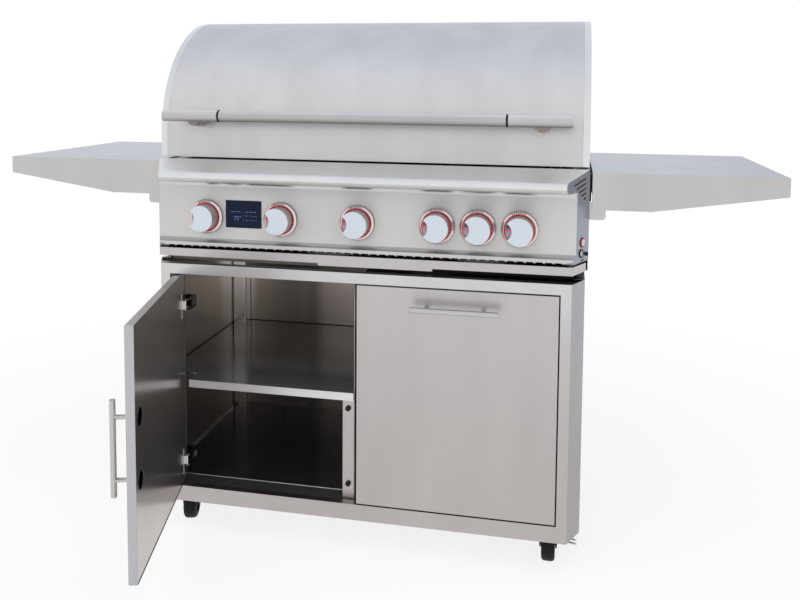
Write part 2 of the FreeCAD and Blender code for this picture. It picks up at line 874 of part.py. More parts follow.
def caster_fork(side, row, turn):
    inner = s.wheel_width / 2 + s.sliding
    outer = inner + s.fork_sheet
    bore = cylinder((0, 0, wheel_top - 1), s.king_pin + s.running * 2, fork_top - wheel_top + 2)
    bridge_front = -s.caster_trail - s.fork_leg / 2
    bridge = box((-outer, bridge_front, wheel_top), (outer, s.fork_leg, fork_top))
    legs = []
    for low, high in ((-outer, -inner), (inner, outer)):
        legs.append(prism("YZ", [
            (bridge_front, wheel_center), (-s.caster_trail, wheel_center - s.fork_leg / 2),
            (s.fork_leg / 2 - s.caster_trail, wheel_center), (s.fork_leg, wheel_top), (s.fork_leg, fork_top),
            (bridge_front, fork_top),
        ], low, high))
    axle = cylinder((-outer, -s.caster_trail, wheel_center), s.axle_diameter, outer * 2, ALONG_X)
    return swivel(group(cut(fuse(bridge, *legs, axle), bore)), side, row, turn)


def caster_wheel(side, row, turn):
    half = s.wheel_width / 2
    tyre = cylinder((-half, -s.caster_trail, wheel_center), s.wheel_diameter, s.wheel_width, ALONG_X)
    bore = cylinder((-half - 1, -s.caster_trail, wheel_center), s.axle_diameter + s.running * 2,
                    s.wheel_width + 2, ALONG_X)
    return swivel(group(cut(tyre, bore)), side, row, turn)


node("caster_plates", caster_plates())
for number, (side, row, turn) in enumerate(CASTERS, start=1):
    node(f"caster_fork_{number}", caster_fork(side, row, turn))
    node(f"caster_wheel_{number}", caster_wheel(side, row, turn))

# Grill head: two side plates and a rear plate on the posts carry the firebox and the control panel
def head_side_panels():
    web = box((head_inner, s.head_front, head_bottom), (head_half, s.head_rear, head_top))
    foot = box((head_inner - s.head_flange, s.flare_depth, head_bottom),
               (head_inner, s.head_rear - s.panel_sheet, head_bottom + s.panel_sheet))
    return pair(fuse(web, foot))


def head_back_panel():
    inner = s.head_rear - s.panel_sheet
    plate = box((-head_inner, inner, head_bottom), (head_inner, s.head_rear, head_top))
    return cut(plate, *vent_slots(head_top - s.vent_drop, s.head_rear, (-1, 1)))


lip_low = head_bottom + s.lip_drop
lip_high = lip_low + s.lip_height
nose_low = head_bottom + s.face_top
nose_middle = nose_low + s.nose_radius
nose_high = nose_middle + s.nose_radius
nose_y = s.panel_face - s.nose_reach
panel_top = nose_high + s.panel_back_rise
knob_level = head_bottom + s.knob_height
KNOB_STEPS = (-2.0, -1.0, 0.0, 1.0, 1.5, 2.0)
knob_pitch = (head_front_half - s.knob_margin) / 2
knob_places = [knob_pitch * step for step in KNOB_STEPS]
screen_x = knob_pitch * -1.5
screen_z = head_bottom + s.screen_middle


def panel_solid(wall):
    """The control panel's outer form, or the hollow behind it drawn in by a wall."""
    rear = s.head_front + wall
    slope = s.panel_back_rise / (s.head_front - nose_y)
    top = panel_top - wall + slope * wall
    side = prism("YZ", [
        (rear, top), (nose_y, nose_high - wall), Arc((nose_y, nose_middle), True), (nose_y, nose_low + wall),
        (s.panel_face + wall, nose_low + wall), (s.panel_face + wall, lip_high + s.lip_slope - wall),
        (wall, lip_high - wall), (wall, lip_low + wall), (rear, lip_low + wall),
    ], -head_half, head_half)
    front = s.panel_face - s.nose_reach * 2
    shift = wall / flare_cos
    front_half = head_front_half + flare * front - shift
    rear_half = head_front_half + flare * rear - shift
    plan = prism("XY", [(-front_half, front), (front_half, front), (rear_half, rear), (-rear_half, rear)],
                 lip_low - 1, panel_top + 1)
    both = doc.addObject("Part::Common", "panel_form")
    both.Base = side
    both.Tool = plan
    return both


def on_flare(shape, y, z):
    """Sets a piece on the right flared end, its own X axis pointing straight out of that end."""
    shape.Placement = FreeCAD.Placement(FreeCAD.Vector(), FreeCAD.Rotation(FreeCAD.Vector(0, 0, 1), -1))
    place(shape, head_front_half + flare * y, y, z)
    shape.setExpression("Placement.Rotation.Angle", f"-1 * {flare_angle.text}")
    return shape


def louvres():
    """Five slanted slots through the right flared end, each shorter than the one above."""
    slots = []
    for row in range(5):
        length = s.louvre_length - s.louvre_step * row
        half = s.louvre_width / 2
        slot = box((-s.panel_sheet * 3, -length, -half), (s.panel_sheet * 3, 0, half))
        tilted = group(slot)
        tilted.Placement = FreeCAD.Placement(FreeCAD.Vector(), FreeCAD.Rotation(FreeCAD.Vector(1, 0, 0), 1))
        tilted.setExpression("Placement.Rotation.Angle", s.louvre_slope.text)
        level = panel_top - s.louvre_drop - s.louvre_pitch * row
        slots.append(on_flare(group(tilted), s.head_front - s.louvre_rear_margin, level))
    return slots


button_y = s.head_front - s.button_rear_margin
button_level = head_bottom + s.button_height


def control_panel():
    tools = [panel_solid(s.panel_sheet)]
    for x in knob_places:
        tools.append(cylinder((x, s.panel_face - 1, knob_level), s.stem_hole, s.panel_sheet + 2, ALONG_Y))
    half_x, half_z = s.screen_width / 2 - s.screen_border, s.screen_height / 2 - s.screen_border
    tools.append(box((screen_x - half_x, s.panel_face - 1, screen_z - half_z),
                     (screen_x + half_x, s.panel_face + s.panel_sheet + 1, screen_z + half_z)))
    slots = louvres()
    tools += slots + [mirrored(slot) for slot in slots]
    hole = cylinder((-s.panel_sheet * 3, 0, 0), s.button_diameter + s.running * 2, s.panel_sheet * 6, ALONG_X)
    tools.append(on_flare(group(hole), button_y, button_level))
    vents = int(s.lip_vent_count.value)
    for step in range(vents):
        x = (head_front_half - s.lip_vent_margin) * (2.0 * step / (vents - 1) - 1.0)
        tools.append(box((x - s.lip_vent_length / 2, -1, lip_low - 1),
                         (x + s.lip_vent_length / 2, s.lip_vent_depth, lip_low + s.lip_vent_height)))
    return cut(panel_solid(size(0)), *tools)


def display_screen():
    half_x, half_z = s.screen_width / 2, s.screen_height / 2
    front = s.panel_face - s.screen_proud
    glass = box((screen_x - half_x, front, screen_z - half_z),
                (screen_x + half_x, s.panel_face, screen_z + half_z))
    inner_x, inner_z = half_x - s.screen_border - s.sliding, half_z - s.screen_border - s.sliding
    case = box((screen_x - inner_x, front, screen_z - inner_z),
               (screen_x + inner_x, s.panel_face + s.screen_depth, screen_z + inner_z))
    return fuse(glass, case)


def knob_bezels():
    inner = s.knob_diameter / 2 + s.bezel_gap
    outer = s.bezel_diameter / 2
    rings = []
    for x in knob_places:
        ring = turned([(inner, 0), (inner, -s.bezel_height), (outer - s.bezel_chamfer, -s.bezel_height),
                       (outer, s.bezel_chamfer - s.bezel_height), (outer, 0)])
        rings.append(place(ring, x, s.panel_face, knob_level))
    return group(*rings)


def knob(x):
    front = -s.knob_gap - s.knob_length
    body = cylinder((0, front, 0), s.knob_diameter, s.knob_length, ALONG_Y)
    scoop = cylinder((-s.scoop_offset, front - 1, 0), s.scoop_radius * 2, s.scoop_depth + 1, ALONG_Y)
    stem = cylinder((0, -s.knob_gap, 0), s.stem_diameter, s.knob_gap + s.stem_length, ALONG_Y)
    return place(group(fuse(cut(body, scoop), stem)), x, s.panel_face, knob_level)


def power_button():
    outer = s.button_proud
    cap = cylinder((outer - s.button_length, 0, 0), s.button_diameter, s.button_length, ALONG_X)
    return on_flare(group(cap), button_y, button_level)


def gas_manifold():
    valve_front = s.panel_face + s.panel_sheet
    valve_rear = valve_front + s.valve_length
    pipe_y = valve_rear - s.manifold_width / 2
    pipe_z = knob_level + s.valve_height / 2 + s.manifold_rise - s.manifold_width / 2
    ends = s.valve_width
    reach = s.manifold_width / 2
    pipe = box((knob_places[0] - ends, pipe_y - reach, pipe_z - reach),
               (knob_places[-1] + ends, pipe_y + reach, pipe_z + reach))
    solids, bores = [pipe], []
    for x in knob_places:
        half = s.valve_width / 2
        solids.append(box((x - half, valve_front, knob_level - s.valve_height / 2),
                          (x + half, valve_rear, knob_level + s.valve_height / 2)))
        outlet_length = s.firebox_front - valve_rear
        solids.append(hexagon_bar((x, valve_rear, knob_level), s.outlet_width, outlet_length, ALONG_Y))
        stem_bore = s.stem_diameter + s.running * 2
        bores.append(cylinder((x, valve_front - 1, knob_level), stem_bore, s.stem_length + 1, ALONG_Y))
    return cut(fuse(*solids), *bores)


node("head_side_panels", head_side_panels())
node("head_back_panel", head_back_panel())
node("control_panel", control_panel())
node("display_screen", display_screen())
node("knob_bezels", knob_bezels())
node("gas_manifold", gas_manifold())
for number, x in enumerate(knob_places, start=1):
    node(f"knob_{number}", knob(x))
node("power_button", power_button())

# Firebox: bent front and rear sheets with sloped floors, and an end plate each side
wall_front = s.firebox_front + s.panel_sheet
wall_rear = s.firebox_rear - s.panel_sheet
box_top = head_top - s.flange_drop
floor_low = head_bottom + s.firebox_floor
corner_low = head_bottom + s.firebox_corner
middle_y = (s.firebox_front + s.firebox_rear) / 2
rear_wall_top = head_top + s.rear_wall_rise


def firebox():
    wall = s.panel_sheet
    lip_front = s.head_front
    front = prism("YZ", [
        (lip_front, box_top - wall), (s.firebox_front, box_top - wall), (s.firebox_front, corner_low - wall),
        (middle_y - s.grease_gap / 2, floor_low - wall), (middle_y - s.grease_gap / 2, floor_low),
        (wall_front, corner_low), (wall_front, box_top), (lip_front, box_top),
    ], -firebox_half, firebox_half)
    rear = prism("YZ", [
        (wall_rear, rear_wall_top), (wall_rear, corner_low), (middle_y + s.grease_gap / 2, floor_low),
        (middle_y + s.grease_gap / 2, floor_low - wall), (s.firebox_rear, corner_low - wall),
        (s.firebox_rear, rear_wall_top),
    ], -firebox_half, firebox_half)
    plate = box((firebox_half, lip_front, floor_low - wall), (firebox_half + wall, s.firebox_rear, box_top))
    flange = box((firebox_half, lip_front, box_top - wall), (head_inner, s.flange_rear, box_top))
    end = fuse(plate, flange)
    return group(front, rear, end, mirrored(end))


burner_places = [knob_pitch * step for step in KNOB_STEPS if step != 1.5]


def main_burners():
    level = head_bottom + s.burner_height
    tubes = []
    for x in burner_places:
        tube = cylinder((x, wall_front, level), s.burner_diameter, s.burner_length, ALONG_Y)
        hollow = cylinder((x, wall_front - 1, level), s.burner_diameter - s.burner_wall * 2,
                          s.burner_length - s.burner_wall + 1, ALONG_Y)
        tubes.append(cut(tube, hollow))
    return group(*tubes)


def flame_tamers():
    wall = s.panel_sheet
    level = head_bottom + s.tamer_level
    ridge = level + s.tamer_height
    half = s.tamer_width / 2
    return group(*[prism("XZ", [(x - half, level), (x - half + wall * 3, level), (x, ridge - wall),
                                (x + half - wall * 3, level), (x + half, level), (x, ridge + wall)],
                         wall_front, wall_rear) for x in burner_places])


def cooking_grates():
    level = head_bottom + s.grate_level
    width = firebox_half * 2 / 5 - s.grate_gap
    bars = int(s.grate_bars.value)
    grates = []
    for place_number in range(5):
        left = firebox_half * (place_number * 2 / 5 - 1) + s.grate_gap / 2
        rods = []
        for bar in range(bars):
            x = left + s.grate_bar + (width - s.grate_bar * 2) / (bars - 1) * bar
            rods.append(hexagon_bar((x, wall_front, level), s.grate_bar, wall_rear - wall_front, ALONG_Y))
        seat = level - s.grate_bar / 2
        half = s.cross_bar / 2
        for y in (wall_front + s.cross_bar_inset, wall_rear - s.cross_bar_inset):
            rods.append(box((left, y - half, seat - s.cross_bar), (left + width, y + half, seat)))
        grates.append(group(*rods))
    return group(*grates)


def rear_burner():
    half = s.rear_burner_width / 2
    low = head_bottom + s.rear_burner_level
    high = low + s.rear_burner_height
    front = wall_rear - s.rear_burner_depth
    lip = s.rear_burner_lip
    case = box((-half, front, low), (half, wall_rear, high))
    recess = box((lip - half, front - 1, low + lip), (half - lip, front + s.rear_burner_recess, high - lip))
    return cut(case, recess)


def warming_rack():
    level = head_bottom + s.rack_height
    side = firebox_half + s.panel_sheet
    rear = s.rack_setback + s.rack_depth
    rods = []
    half = s.rack_rod / 2
    seat = level - half
    for y in (s.rack_setback, rear):
        rods.append(box((-side, y - half, seat - s.rack_rod), (side, y + half, seat)))
        for x in (-side, side - s.rack_rod):
            rods.append(box((x, y - half, box_top), (x + s.rack_rod, y + half, seat - s.rack_rod)))
    count = int(s.rack_cross_count.value)
    for step in range(count):
        x = (side - s.rack_rod) * (2.0 * step / (count - 1) - 1.0)
        length = s.rack_depth + s.rack_rod
        rods.append(hexagon_bar((x, s.rack_setback - half, level), s.rack_rod, length, ALONG_Y))
    return group(*rods)


node("firebox", firebox())
node("main_burners", main_burners())
node("flame_tamers", flame_tamers())
node("cooking_grates", cooking_grates())
node("rear_burner", rear_burner())
node("warming_rack", warming_rack())

# Drip tray: a shallow pan on the side plates' feet, its front rail folded back at both ends like the cabinet
def drip_tray():
    wall = s.rail_sheet
    front = -s.rail_front
    rail_half = head_front_half + flare * front
    fold = wall * angle_function("tan", fold_turn)
    inset = wall / flare_cos
    ends = s.flare_depth - s.reveal
    end_half = head_front_half + flare * ends
    rail = prism("XY", [
        (-end_half, ends), (-rail_half, front), (rail_half, front), (end_half, ends), (end_half - inset, ends),
        (rail_half - fold, front + wall), (fold - rail_half, front + wall), (inset - end_half, ends),
    ], head_bottom, head_bottom + s.rail_height)
    half = head_inner - s.head_flange / 2 - s.reveal
    neck_half = rail_half - s.drip_shoulder / 3
    low = head_bottom + s.panel_sheet + s.sliding / 2
    high = low + s.drip_wall
    shoulder = s.drip_shoulder
    wide = box((-half, shoulder, low), (half, s.drip_rear, high))
    neck = box((-neck_half, front + wall / 2, low), (neck_half, shoulder + wall, high))
    wide_hollow = box((wall - half, shoulder + wall, low + wall), (half - wall, s.drip_rear - wall, high + 1))
    neck_hollow = box((wall - neck_half, front + wall, low + wall),
                      (neck_half - wall, shoulder + wall * 2, high + 1))
    return fuse(rail, cut(fuse(wide, neck), wide_hollow, neck_hollow))


node("drip_tray", drip_tray())

# Hood: a rolled sheet between two end caps, with an inner liner, a bar handle and a pivot at each end
hood_bottom = head_bottom + s.hood_lift
shell_half = hood_half - s.end_trim
roll_z = hood_bottom + s.hood_skirt
roll_y = s.hood_front + s.hood_radius
hood_top = roll_z + s.hood_radius
hood_rear = s.hood_front + s.hood_depth
rear_y = hood_rear - s.hood_rear_radius
rear_z = hood_top - s.hood_rear_radius
hood_pivot_y = hood_rear - s.pivot_forward
hood_pivot_z = hood_bottom + s.pivot_rise


def hood_path(inset, rear_low):
    """The hood's section from its front bottom edge over the top to its rear edge, drawn in by an inset."""
    return [
        (s.hood_front + inset, hood_bottom), (s.hood_front + inset, roll_z), Arc((roll_y, roll_z), False),
        (roll_y, hood_top - inset), (rear_y, hood_top - inset), Arc((rear_y, rear_z), False),
        (hood_rear - inset, rear_z), (hood_rear - inset, rear_low),
    ]


def reverse_path(path):
    flipped = []
    for step in reversed(path):
        flipped.append(Arc(step.center, not step.ccw) if isinstance(step, Arc) else step)
    return flipped


def hood_shell():
    rear_low = hood_pivot_z
    outline = hood_path(size(0), rear_low) + reverse_path(hood_path(s.hood_sheet, rear_low))
    return prism("YZ", outline, -shell_half, shell_half)


def hood_end_outline(inset):
    path = hood_path(inset, hood_pivot_z)
    path[0] = (s.hood_front + inset, hood_bottom + inset)
    return path + [Arc((hood_pivot_y, hood_pivot_z), False), (hood_pivot_y, hood_bottom + inset)]


def hood_ends():
    cap = prism("YZ", hood_end_outline(size(0)), shell_half, hood_half)
    hollow = prism("YZ", hood_end_outline(s.hood_sheet), shell_half - 1, hood_half - s.end_plate)
    boss_length = s.end_trim - s.end_plate / 2
    boss = cylinder((shell_half, hood_pivot_y, hood_pivot_z), s.hood_boss, boss_length, ALONG_X)
    bore = cylinder((shell_half - 1, hood_pivot_y, hood_pivot_z), s.hood_pin + s.running * 2,
                    s.end_trim - s.end_plate + 1, ALONG_X)
    return pair(cut(fuse(cut(cap, hollow), boss), bore))


def hood_liner():
    gap = s.liner_gap
    wall = s.hood_sheet
    foot_low = hood_bottom + s.liner_foot
    rear_low = hood_pivot_z + s.liner_rear
    outer, inner = hood_path(gap, rear_low), hood_path(gap + wall, rear_low)
    outer[0] = (s.hood_front + gap, foot_low + wall)
    inner[0] = (s.hood_front + gap + wall, foot_low)
    outer[-1] = (hood_rear - gap, rear_low + wall)
    inner[-1] = (hood_rear - gap - wall, rear_low)
    front_foot = [(s.hood_front + wall, foot_low), (s.hood_front + wall, foot_low + wall)]
    rear_foot = [(hood_rear - wall, rear_low + wall), (hood_rear - wall, rear_low)]
    return prism("YZ", front_foot + outer + rear_foot + reverse_path(inner), -shell_half, shell_half)


def hood_hinge_brackets():
    outer = shell_half - s.hood_bracket_inset
    inner = outer - s.hood_bracket
    half = s.hood_bracket_width / 2
    plate = box((inner, hood_pivot_y - half, box_top), (outer, hood_pivot_y, hood_pivot_z))
    eye = cylinder((inner, hood_pivot_y, hood_pivot_z), s.hood_bracket_width, s.hood_bracket, ALONG_X)
    pin_end = hood_half - s.end_plate - s.sliding
    pin = cylinder((inner, hood_pivot_y, hood_pivot_z), s.hood_pin, pin_end - inner, ALONG_X)
    return pair(fuse(plate, eye, pin))


bar_y = s.hood_front - s.bar_standoff
bar_z = hood_bottom + s.bar_height
bar_half = hood_half - s.bar_end_inset
bar_post_x = hood_half - s.bar_post_inset
ring_inner = hood_half - s.ring_inset - s.ring_width / 2
ring_outer = ring_inner + s.ring_width


def hood_handle_bar():
    return cylinder((-ring_inner, bar_y, bar_z), s.bar_diameter - s.grip_recess * 2, ring_inner * 2, ALONG_X)


def hood_handle_rings():
    ring = cylinder((ring_inner, bar_y, bar_z), s.bar_diameter + s.ring_proud * 2, s.ring_width, ALONG_X)
    return pair(ring)


def hood_handle_ends():
    sleeve = cylinder((ring_outer, bar_y, bar_z), s.bar_diameter, bar_half - ring_outer, ALONG_X)
    post = cylinder((bar_post_x, bar_y, bar_z), s.bar_post, s.bar_standoff + s.bar_diameter, ALONG_Y)
    skin = cylinder((0, roll_y, roll_z), s.hood_radius * 2, shell_half, ALONG_X)
    return pair(cut(fuse(sleeve, post), skin))


node("hood_shell", hood_shell())
node("hood_ends", hood_ends())
node("hood_liner", hood_liner())
node("hood_hinge_brackets", hood_hinge_brackets())
node("hood_handle_bar", hood_handle_bar())
node("hood_handle_rings", hood_handle_rings())
node("hood_handle_ends", hood_handle_ends())

# Side shelves: open-bottomed sheet pans that fold down on pins in brackets on the head's side plates
side_inner_x = head_half + s.side_gap
side_outer_x = side_inner_x + s.side_length
side_top = head_top - s.side_top_drop
side_rear = s.side_front + s.side_depth
side_low = side_top - s.side_inner
side_tip = side_top - s.side_outer
side_pivot_x = side_inner_x + s.side_pivot_in
side_pivot_z = side_low + s.side_pivot_up
lug_front = s.side_front + s.side_sheet + s.side_lug_setback
bracket_front = lug_front - s.side_lug_gap - s.side_bracket
side_middle = s.side_front + s.side_depth / 2


def front_and_rear(shape):
    """A piece near a shelf's front and its mirror image near the rear."""
    other = doc.addObject("Part::Mirroring", "rear_copy")
    other.Source = shape
    other.Normal = FreeCAD.Vector(0, 1, 0)
    other.setExpression("Base.y", side_middle.text)
    return [shape, other]


def side_shelf():
    wall = s.side_sheet
    knee = side_inner_x + s.side_knee
    outline = [(side_inner_x, side_low), (knee, side_low), (side_outer_x, side_tip), (side_outer_x, side_top),
               (side_inner_x, side_top)]
    form = prism("XZ", outline, s.side_front, side_rear)
    hollow = box((side_inner_x + wall, s.side_front + wall, side_low - 1),
                 (side_outer_x - wall, side_rear - wall, side_top - wall))
    way = box((side_inner_x - 1, s.side_front + wall, side_low - 1),
              (side_inner_x + wall * 2, side_rear - wall, side_top - s.side_end_wall))
    lug = box((side_pivot_x - s.side_lug / 2, lug_front, side_pivot_z - s.side_pivot_up),
              (side_pivot_x + s.side_lug / 2, lug_front + s.side_bracket, side_top - wall / 2))
    bore = cylinder((side_pivot_x, lug_front - 1, side_pivot_z), s.side_pin + s.running * 2, s.side_bracket + 2,
                    ALONG_Y)
    return fuse(cut(form, hollow, way), *front_and_rear(cut(lug, bore)))


def shelf_brackets():
    reach = head_half + s.side_bracket_reach
    low = side_pivot_z - s.side_bracket_drop - s.side_pivot_up
    high = side_pivot_z + s.side_pin
    turn = s.side_bracket_round
    plate = prism("XZ", [(head_half, low), (reach - turn, low), Arc((reach - turn, low + turn), True),
                         (reach, low + turn), (reach, high), (head_half, high)],
                  bracket_front, bracket_front + s.side_bracket)
    pin = cylinder((side_pivot_x, bracket_front, side_pivot_z), s.side_pin,
                   s.side_bracket * 2 + s.side_lug_gap, ALONG_Y)
    right = front_and_rear(fuse(plate, pin))
    return group(*right, *[mirrored(shape) for shape in right])


right_shelf = node("side_shelf_right", side_shelf())
node("side_shelf_left", mirrored(right_shelf))
node("shelf_brackets", shelf_brackets())

doc.recompute()
for item in doc.Objects:
    if "Invalid" in item.State or "Error" in item.State:
        raise RuntimeError(f"{item.Name} ({item.Label}) failed: {item.State}")
for item in nodes:
    if item.Shape.isNull() or not item.Shape.isValid() or not item.Shape.Solids:
        raise RuntimeError(f"{item.Label} has no valid solid")

os.makedirs("parts", exist_ok=True)
for item in nodes:
    item.Shape.exportStep(f"parts/{item.Label}.step")
    print(item.Label, len(item.Shape.Solids), round(item.Shape.Volume))
print(len(nodes), "nodes")
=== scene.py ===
import json
import math

import bmesh
import bpy
from mathutils import Matrix, Vector


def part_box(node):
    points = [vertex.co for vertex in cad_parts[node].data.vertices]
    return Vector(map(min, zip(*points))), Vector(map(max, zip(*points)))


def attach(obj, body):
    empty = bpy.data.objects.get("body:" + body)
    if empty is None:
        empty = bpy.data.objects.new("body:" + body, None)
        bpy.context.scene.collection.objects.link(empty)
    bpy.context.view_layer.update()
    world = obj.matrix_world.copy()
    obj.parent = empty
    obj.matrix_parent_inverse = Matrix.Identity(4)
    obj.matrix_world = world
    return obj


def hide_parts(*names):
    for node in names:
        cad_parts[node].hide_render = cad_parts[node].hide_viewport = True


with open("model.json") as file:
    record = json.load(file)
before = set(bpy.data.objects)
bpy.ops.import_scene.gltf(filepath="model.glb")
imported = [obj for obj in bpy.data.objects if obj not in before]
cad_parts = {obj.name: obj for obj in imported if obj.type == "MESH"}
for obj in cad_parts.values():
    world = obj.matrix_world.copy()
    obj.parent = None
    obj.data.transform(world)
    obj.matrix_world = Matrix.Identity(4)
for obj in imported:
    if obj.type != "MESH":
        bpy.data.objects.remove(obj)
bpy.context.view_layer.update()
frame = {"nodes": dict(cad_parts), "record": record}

# Studio: the camera stands right of the middle, level with the middle of the hood, and looks slightly down.
# White light comes from all round, a little cooler from behind and dimmer from the right, with two large
# soft lamps, and the floor keeps a pale shadow.
scene = bpy.context.scene
scene.view_settings.view_transform = "Standard"
camera_place = Vector((0.4598, -1.7653, 1.0697))
camera_turn = 0.2024
camera_dip = 0.0745
camera_roll = 0.0068
camera_data = bpy.data.cameras.new("camera")
camera_data.sensor_width = 36
camera_data.lens = 37.52
camera_data.shift_y = -0.1988
camera = bpy.data.objects.new("camera", camera_data)
camera.matrix_world = (
    Matrix.Translation(camera_place)
    @ Matrix.Rotation(camera_turn, 4, "Z")
    @ Matrix.Rotation(math.pi / 2 - camera_dip, 4, "X")
    @ Matrix.Rotation(camera_roll, 4, "Z")
)
scene.collection.objects.link(camera)
scene.camera = camera


def feed(tree, node, inputs):
    """Gives a node's inputs what they need: each gets a socket to link, a number, numbers or a colour."""
    for key, value in inputs.items():
        socket = node.inputs[key]
        if isinstance(value, bpy.types.NodeSocket):
            tree.links.new(value, socket)
        elif socket.type == "RGBA":
            socket.default_value = (*value, 1.0)
        else:
            socket.default_value = value


def add_node(tree, kind, inputs=None, **settings):
    """Adds a node with the given inputs and the named properties."""
    node = tree.nodes.new(kind)
    for key, value in settings.items():
        setattr(node, key, value)
    feed(tree, node, inputs or {})
    return node


def math_node(tree, operation, *operands):
    """The result of a math node; each operand is a socket or a number."""
    return add_node(tree, "ShaderNodeMath", dict(enumerate(operands)), operation=operation).outputs["Value"]


def ramp_node(tree, value, low, high):
    """A smooth mask that goes from 0 at low to 1 at high."""
    limits = {"Value": value, "From Min": low, "From Max": high}
    return add_node(tree, "ShaderNodeMapRange", limits, interpolation_type="SMOOTHSTEP").outputs["Result"]


def blend_node(tree, mask, first, second, way="MIX"):
    """Mixes two colours by a mask; each colour is a socket or three numbers."""
    colors = {"Factor": mask, "A": first, "B": second}
    return add_node(tree, "ShaderNodeMix", colors, data_type="RGBA", blend_type=way).outputs["Result"]


def background_rays(tree):
    """Masks of the camera's rays, and of all that show the background: seen, mirrored or passed through."""
    path = add_node(tree, "ShaderNodeLightPath")
    seen = path.outputs["Is Camera Ray"]
    mirrored = path.outputs["Is Glossy Ray"]
    passed = path.outputs["Is Transmission Ray"]
    return seen, math_node(tree, "MAXIMUM", seen, math_node(tree, "MAXIMUM", mirrored, passed))


def new_material(name):
    """A node material, with its tree, its shader and the socket of its Object coordinates."""
    material = bpy.data.materials.new(name)
    material.use_nodes = True
    tree = material.node_tree
    place = add_node(tree, "ShaderNodeTexCoord").outputs["Object"]
    return material, tree, tree.nodes["Principled BSDF"], place


world = bpy.data.worlds.new("studio")
scene.world = world
world.use_nodes = True
sky = world.node_tree
sky.nodes.clear()
direction = add_node(sky, "ShaderNodeTexCoord").outputs["Generated"]
split = add_node(sky, "ShaderNodeSeparateXYZ", {"Vector": direction})
right_rear = (0.84, 0.54, 0.0)
dim_side = add_node(sky, "ShaderNodeVectorMath", {0: direction, 1: right_rear}, operation="DOT_PRODUCT")
white = (1.0, 1.0, 1.0)
warm_front = (0.98, 0.97, 0.955)
cool_rear = (0.86, 0.90, 0.98)
dim_right = (0.46, 0.49, 0.57)
pale_above = (0.86, 0.89, 0.95)
towards_rear = ramp_node(sky, split.outputs["Y"], low=-0.4, high=0.6)
towards_right = ramp_node(sky, dim_side.outputs["Value"], low=0.55, high=0.95)
upwards = ramp_node(sky, split.outputs["Z"], low=0.35, high=0.95)
around = blend_node(sky, towards_rear, warm_front, cool_rear)
around = blend_node(sky, towards_right, around, dim_right)
around = blend_node(sky, upwards, around, pale_above)
camera_only, shown = background_rays(sky)
sky_fill = add_node(sky, "ShaderNodeBackground", {"Color": (1.0, 0.99, 0.97), "Strength": 0.6})
sky_seen = add_node(sky, "ShaderNodeBackground", {"Color": blend_node(sky, camera_only, around, white)})
sky_lights = {"Fac": shown, 1: sky_fill.outputs["Background"], 2: sky_seen.outputs["Background"]}
sky_mix = add_node(sky, "ShaderNodeMixShader", sky_lights)
add_node(sky, "ShaderNodeOutputWorld", {"Surface": sky_mix.outputs["Shader"]})

floor_half = 9.0
near_white = 0.84
floor_material, floor_tree, floor_shader, floor_place = new_material("studio_floor")
feed(floor_tree, floor_shader, {"Base Color": (0.94, 0.94, 0.93), "Roughness": 0.9})
floor_reach = add_node(floor_tree, "ShaderNodeVectorMath", {0: floor_place}, operation="LENGTH")
far_off = ramp_node(floor_tree, floor_reach.outputs["Value"], low=1.0, high=2.4)
floor_white = math_node(floor_tree, "MULTIPLY_ADD", far_off, 1 - near_white, near_white)
floor_share = math_node(floor_tree, "MULTIPLY", background_rays(floor_tree)[1], floor_white)
floor_glow = add_node(floor_tree, "ShaderNodeEmission")
floor_looks = {"Fac": floor_share, 1: floor_shader.outputs["BSDF"], 2: floor_glow.outputs["Emission"]}
floor_mix = add_node(floor_tree, "ShaderNodeMixShader", floor_looks)
feed(floor_tree, floor_tree.nodes["Material Output"], {"Surface": floor_mix.outputs["Shader"]})
floor_mesh = bpy.data.meshes.new("studio_floor")
floor_form = bmesh.new()
bmesh.ops.create_grid(floor_form, x_segments=1, y_segments=1, size=floor_half)
floor_form.to_mesh(floor_mesh)
floor_form.free()
floor_mesh.materials.append(floor_material)
studio_floor = bpy.data.objects.new("studio_floor", floor_mesh)
scene.collection.objects.link(studio_floor)


def soft_lamp(name, place, target, width, power):
    """A square lamp that lights the object but leaves no hot spot in the brushed steel."""
    lamp = bpy.data.lights.new(name, "AREA")
    lamp.size = width
    lamp.energy = power
    holder = bpy.data.objects.new(name, lamp)
    holder.visible_glossy = False
    aim = (Vector(target) - Vector(place)).to_track_quat("-Z", "Y")
    holder.matrix_world = Matrix.Translation(place) @ aim.to_matrix().to_4x4()
    scene.collection.objects.link(holder)


soft_lamp("lamp_front", place=(-1.0, -2.9, 2.6), target=(0.0, 0.2, 0.7), width=2.2, power=42)
soft_lamp("lamp_above", place=(0.6, -0.4, 3.2), target=(0.0, 0.2, 0.6), width=2.6, power=34)

# Cabinet front frame: one brushed stainless sheet, folded back at both corners, with a window for the door
# and the drawer. Its folds are rounded by the press brake, and the brushing runs across the sheet.
body_of = {node: body for body, members in frame["record"]["behaviour"]["bodies"].items() for node in members}
slot_of = {part["node"]: part["material_slot"] for part in frame["record"]["subparts"]}


def new_group(name, inputs, outputs):
    """A node group with the named sockets, what its input node gives, and its output node."""
    group = bpy.data.node_groups.new(name, "ShaderNodeTree")
    for side, sockets in (("INPUT", inputs), ("OUTPUT", outputs)):
        for socket, kind in sockets.items():
            group.interface.new_socket(socket, in_out=side, socket_type="NodeSocket" + kind)
    return group, add_node(group, "NodeGroupInput").outputs, add_node(group, "NodeGroupOutput")


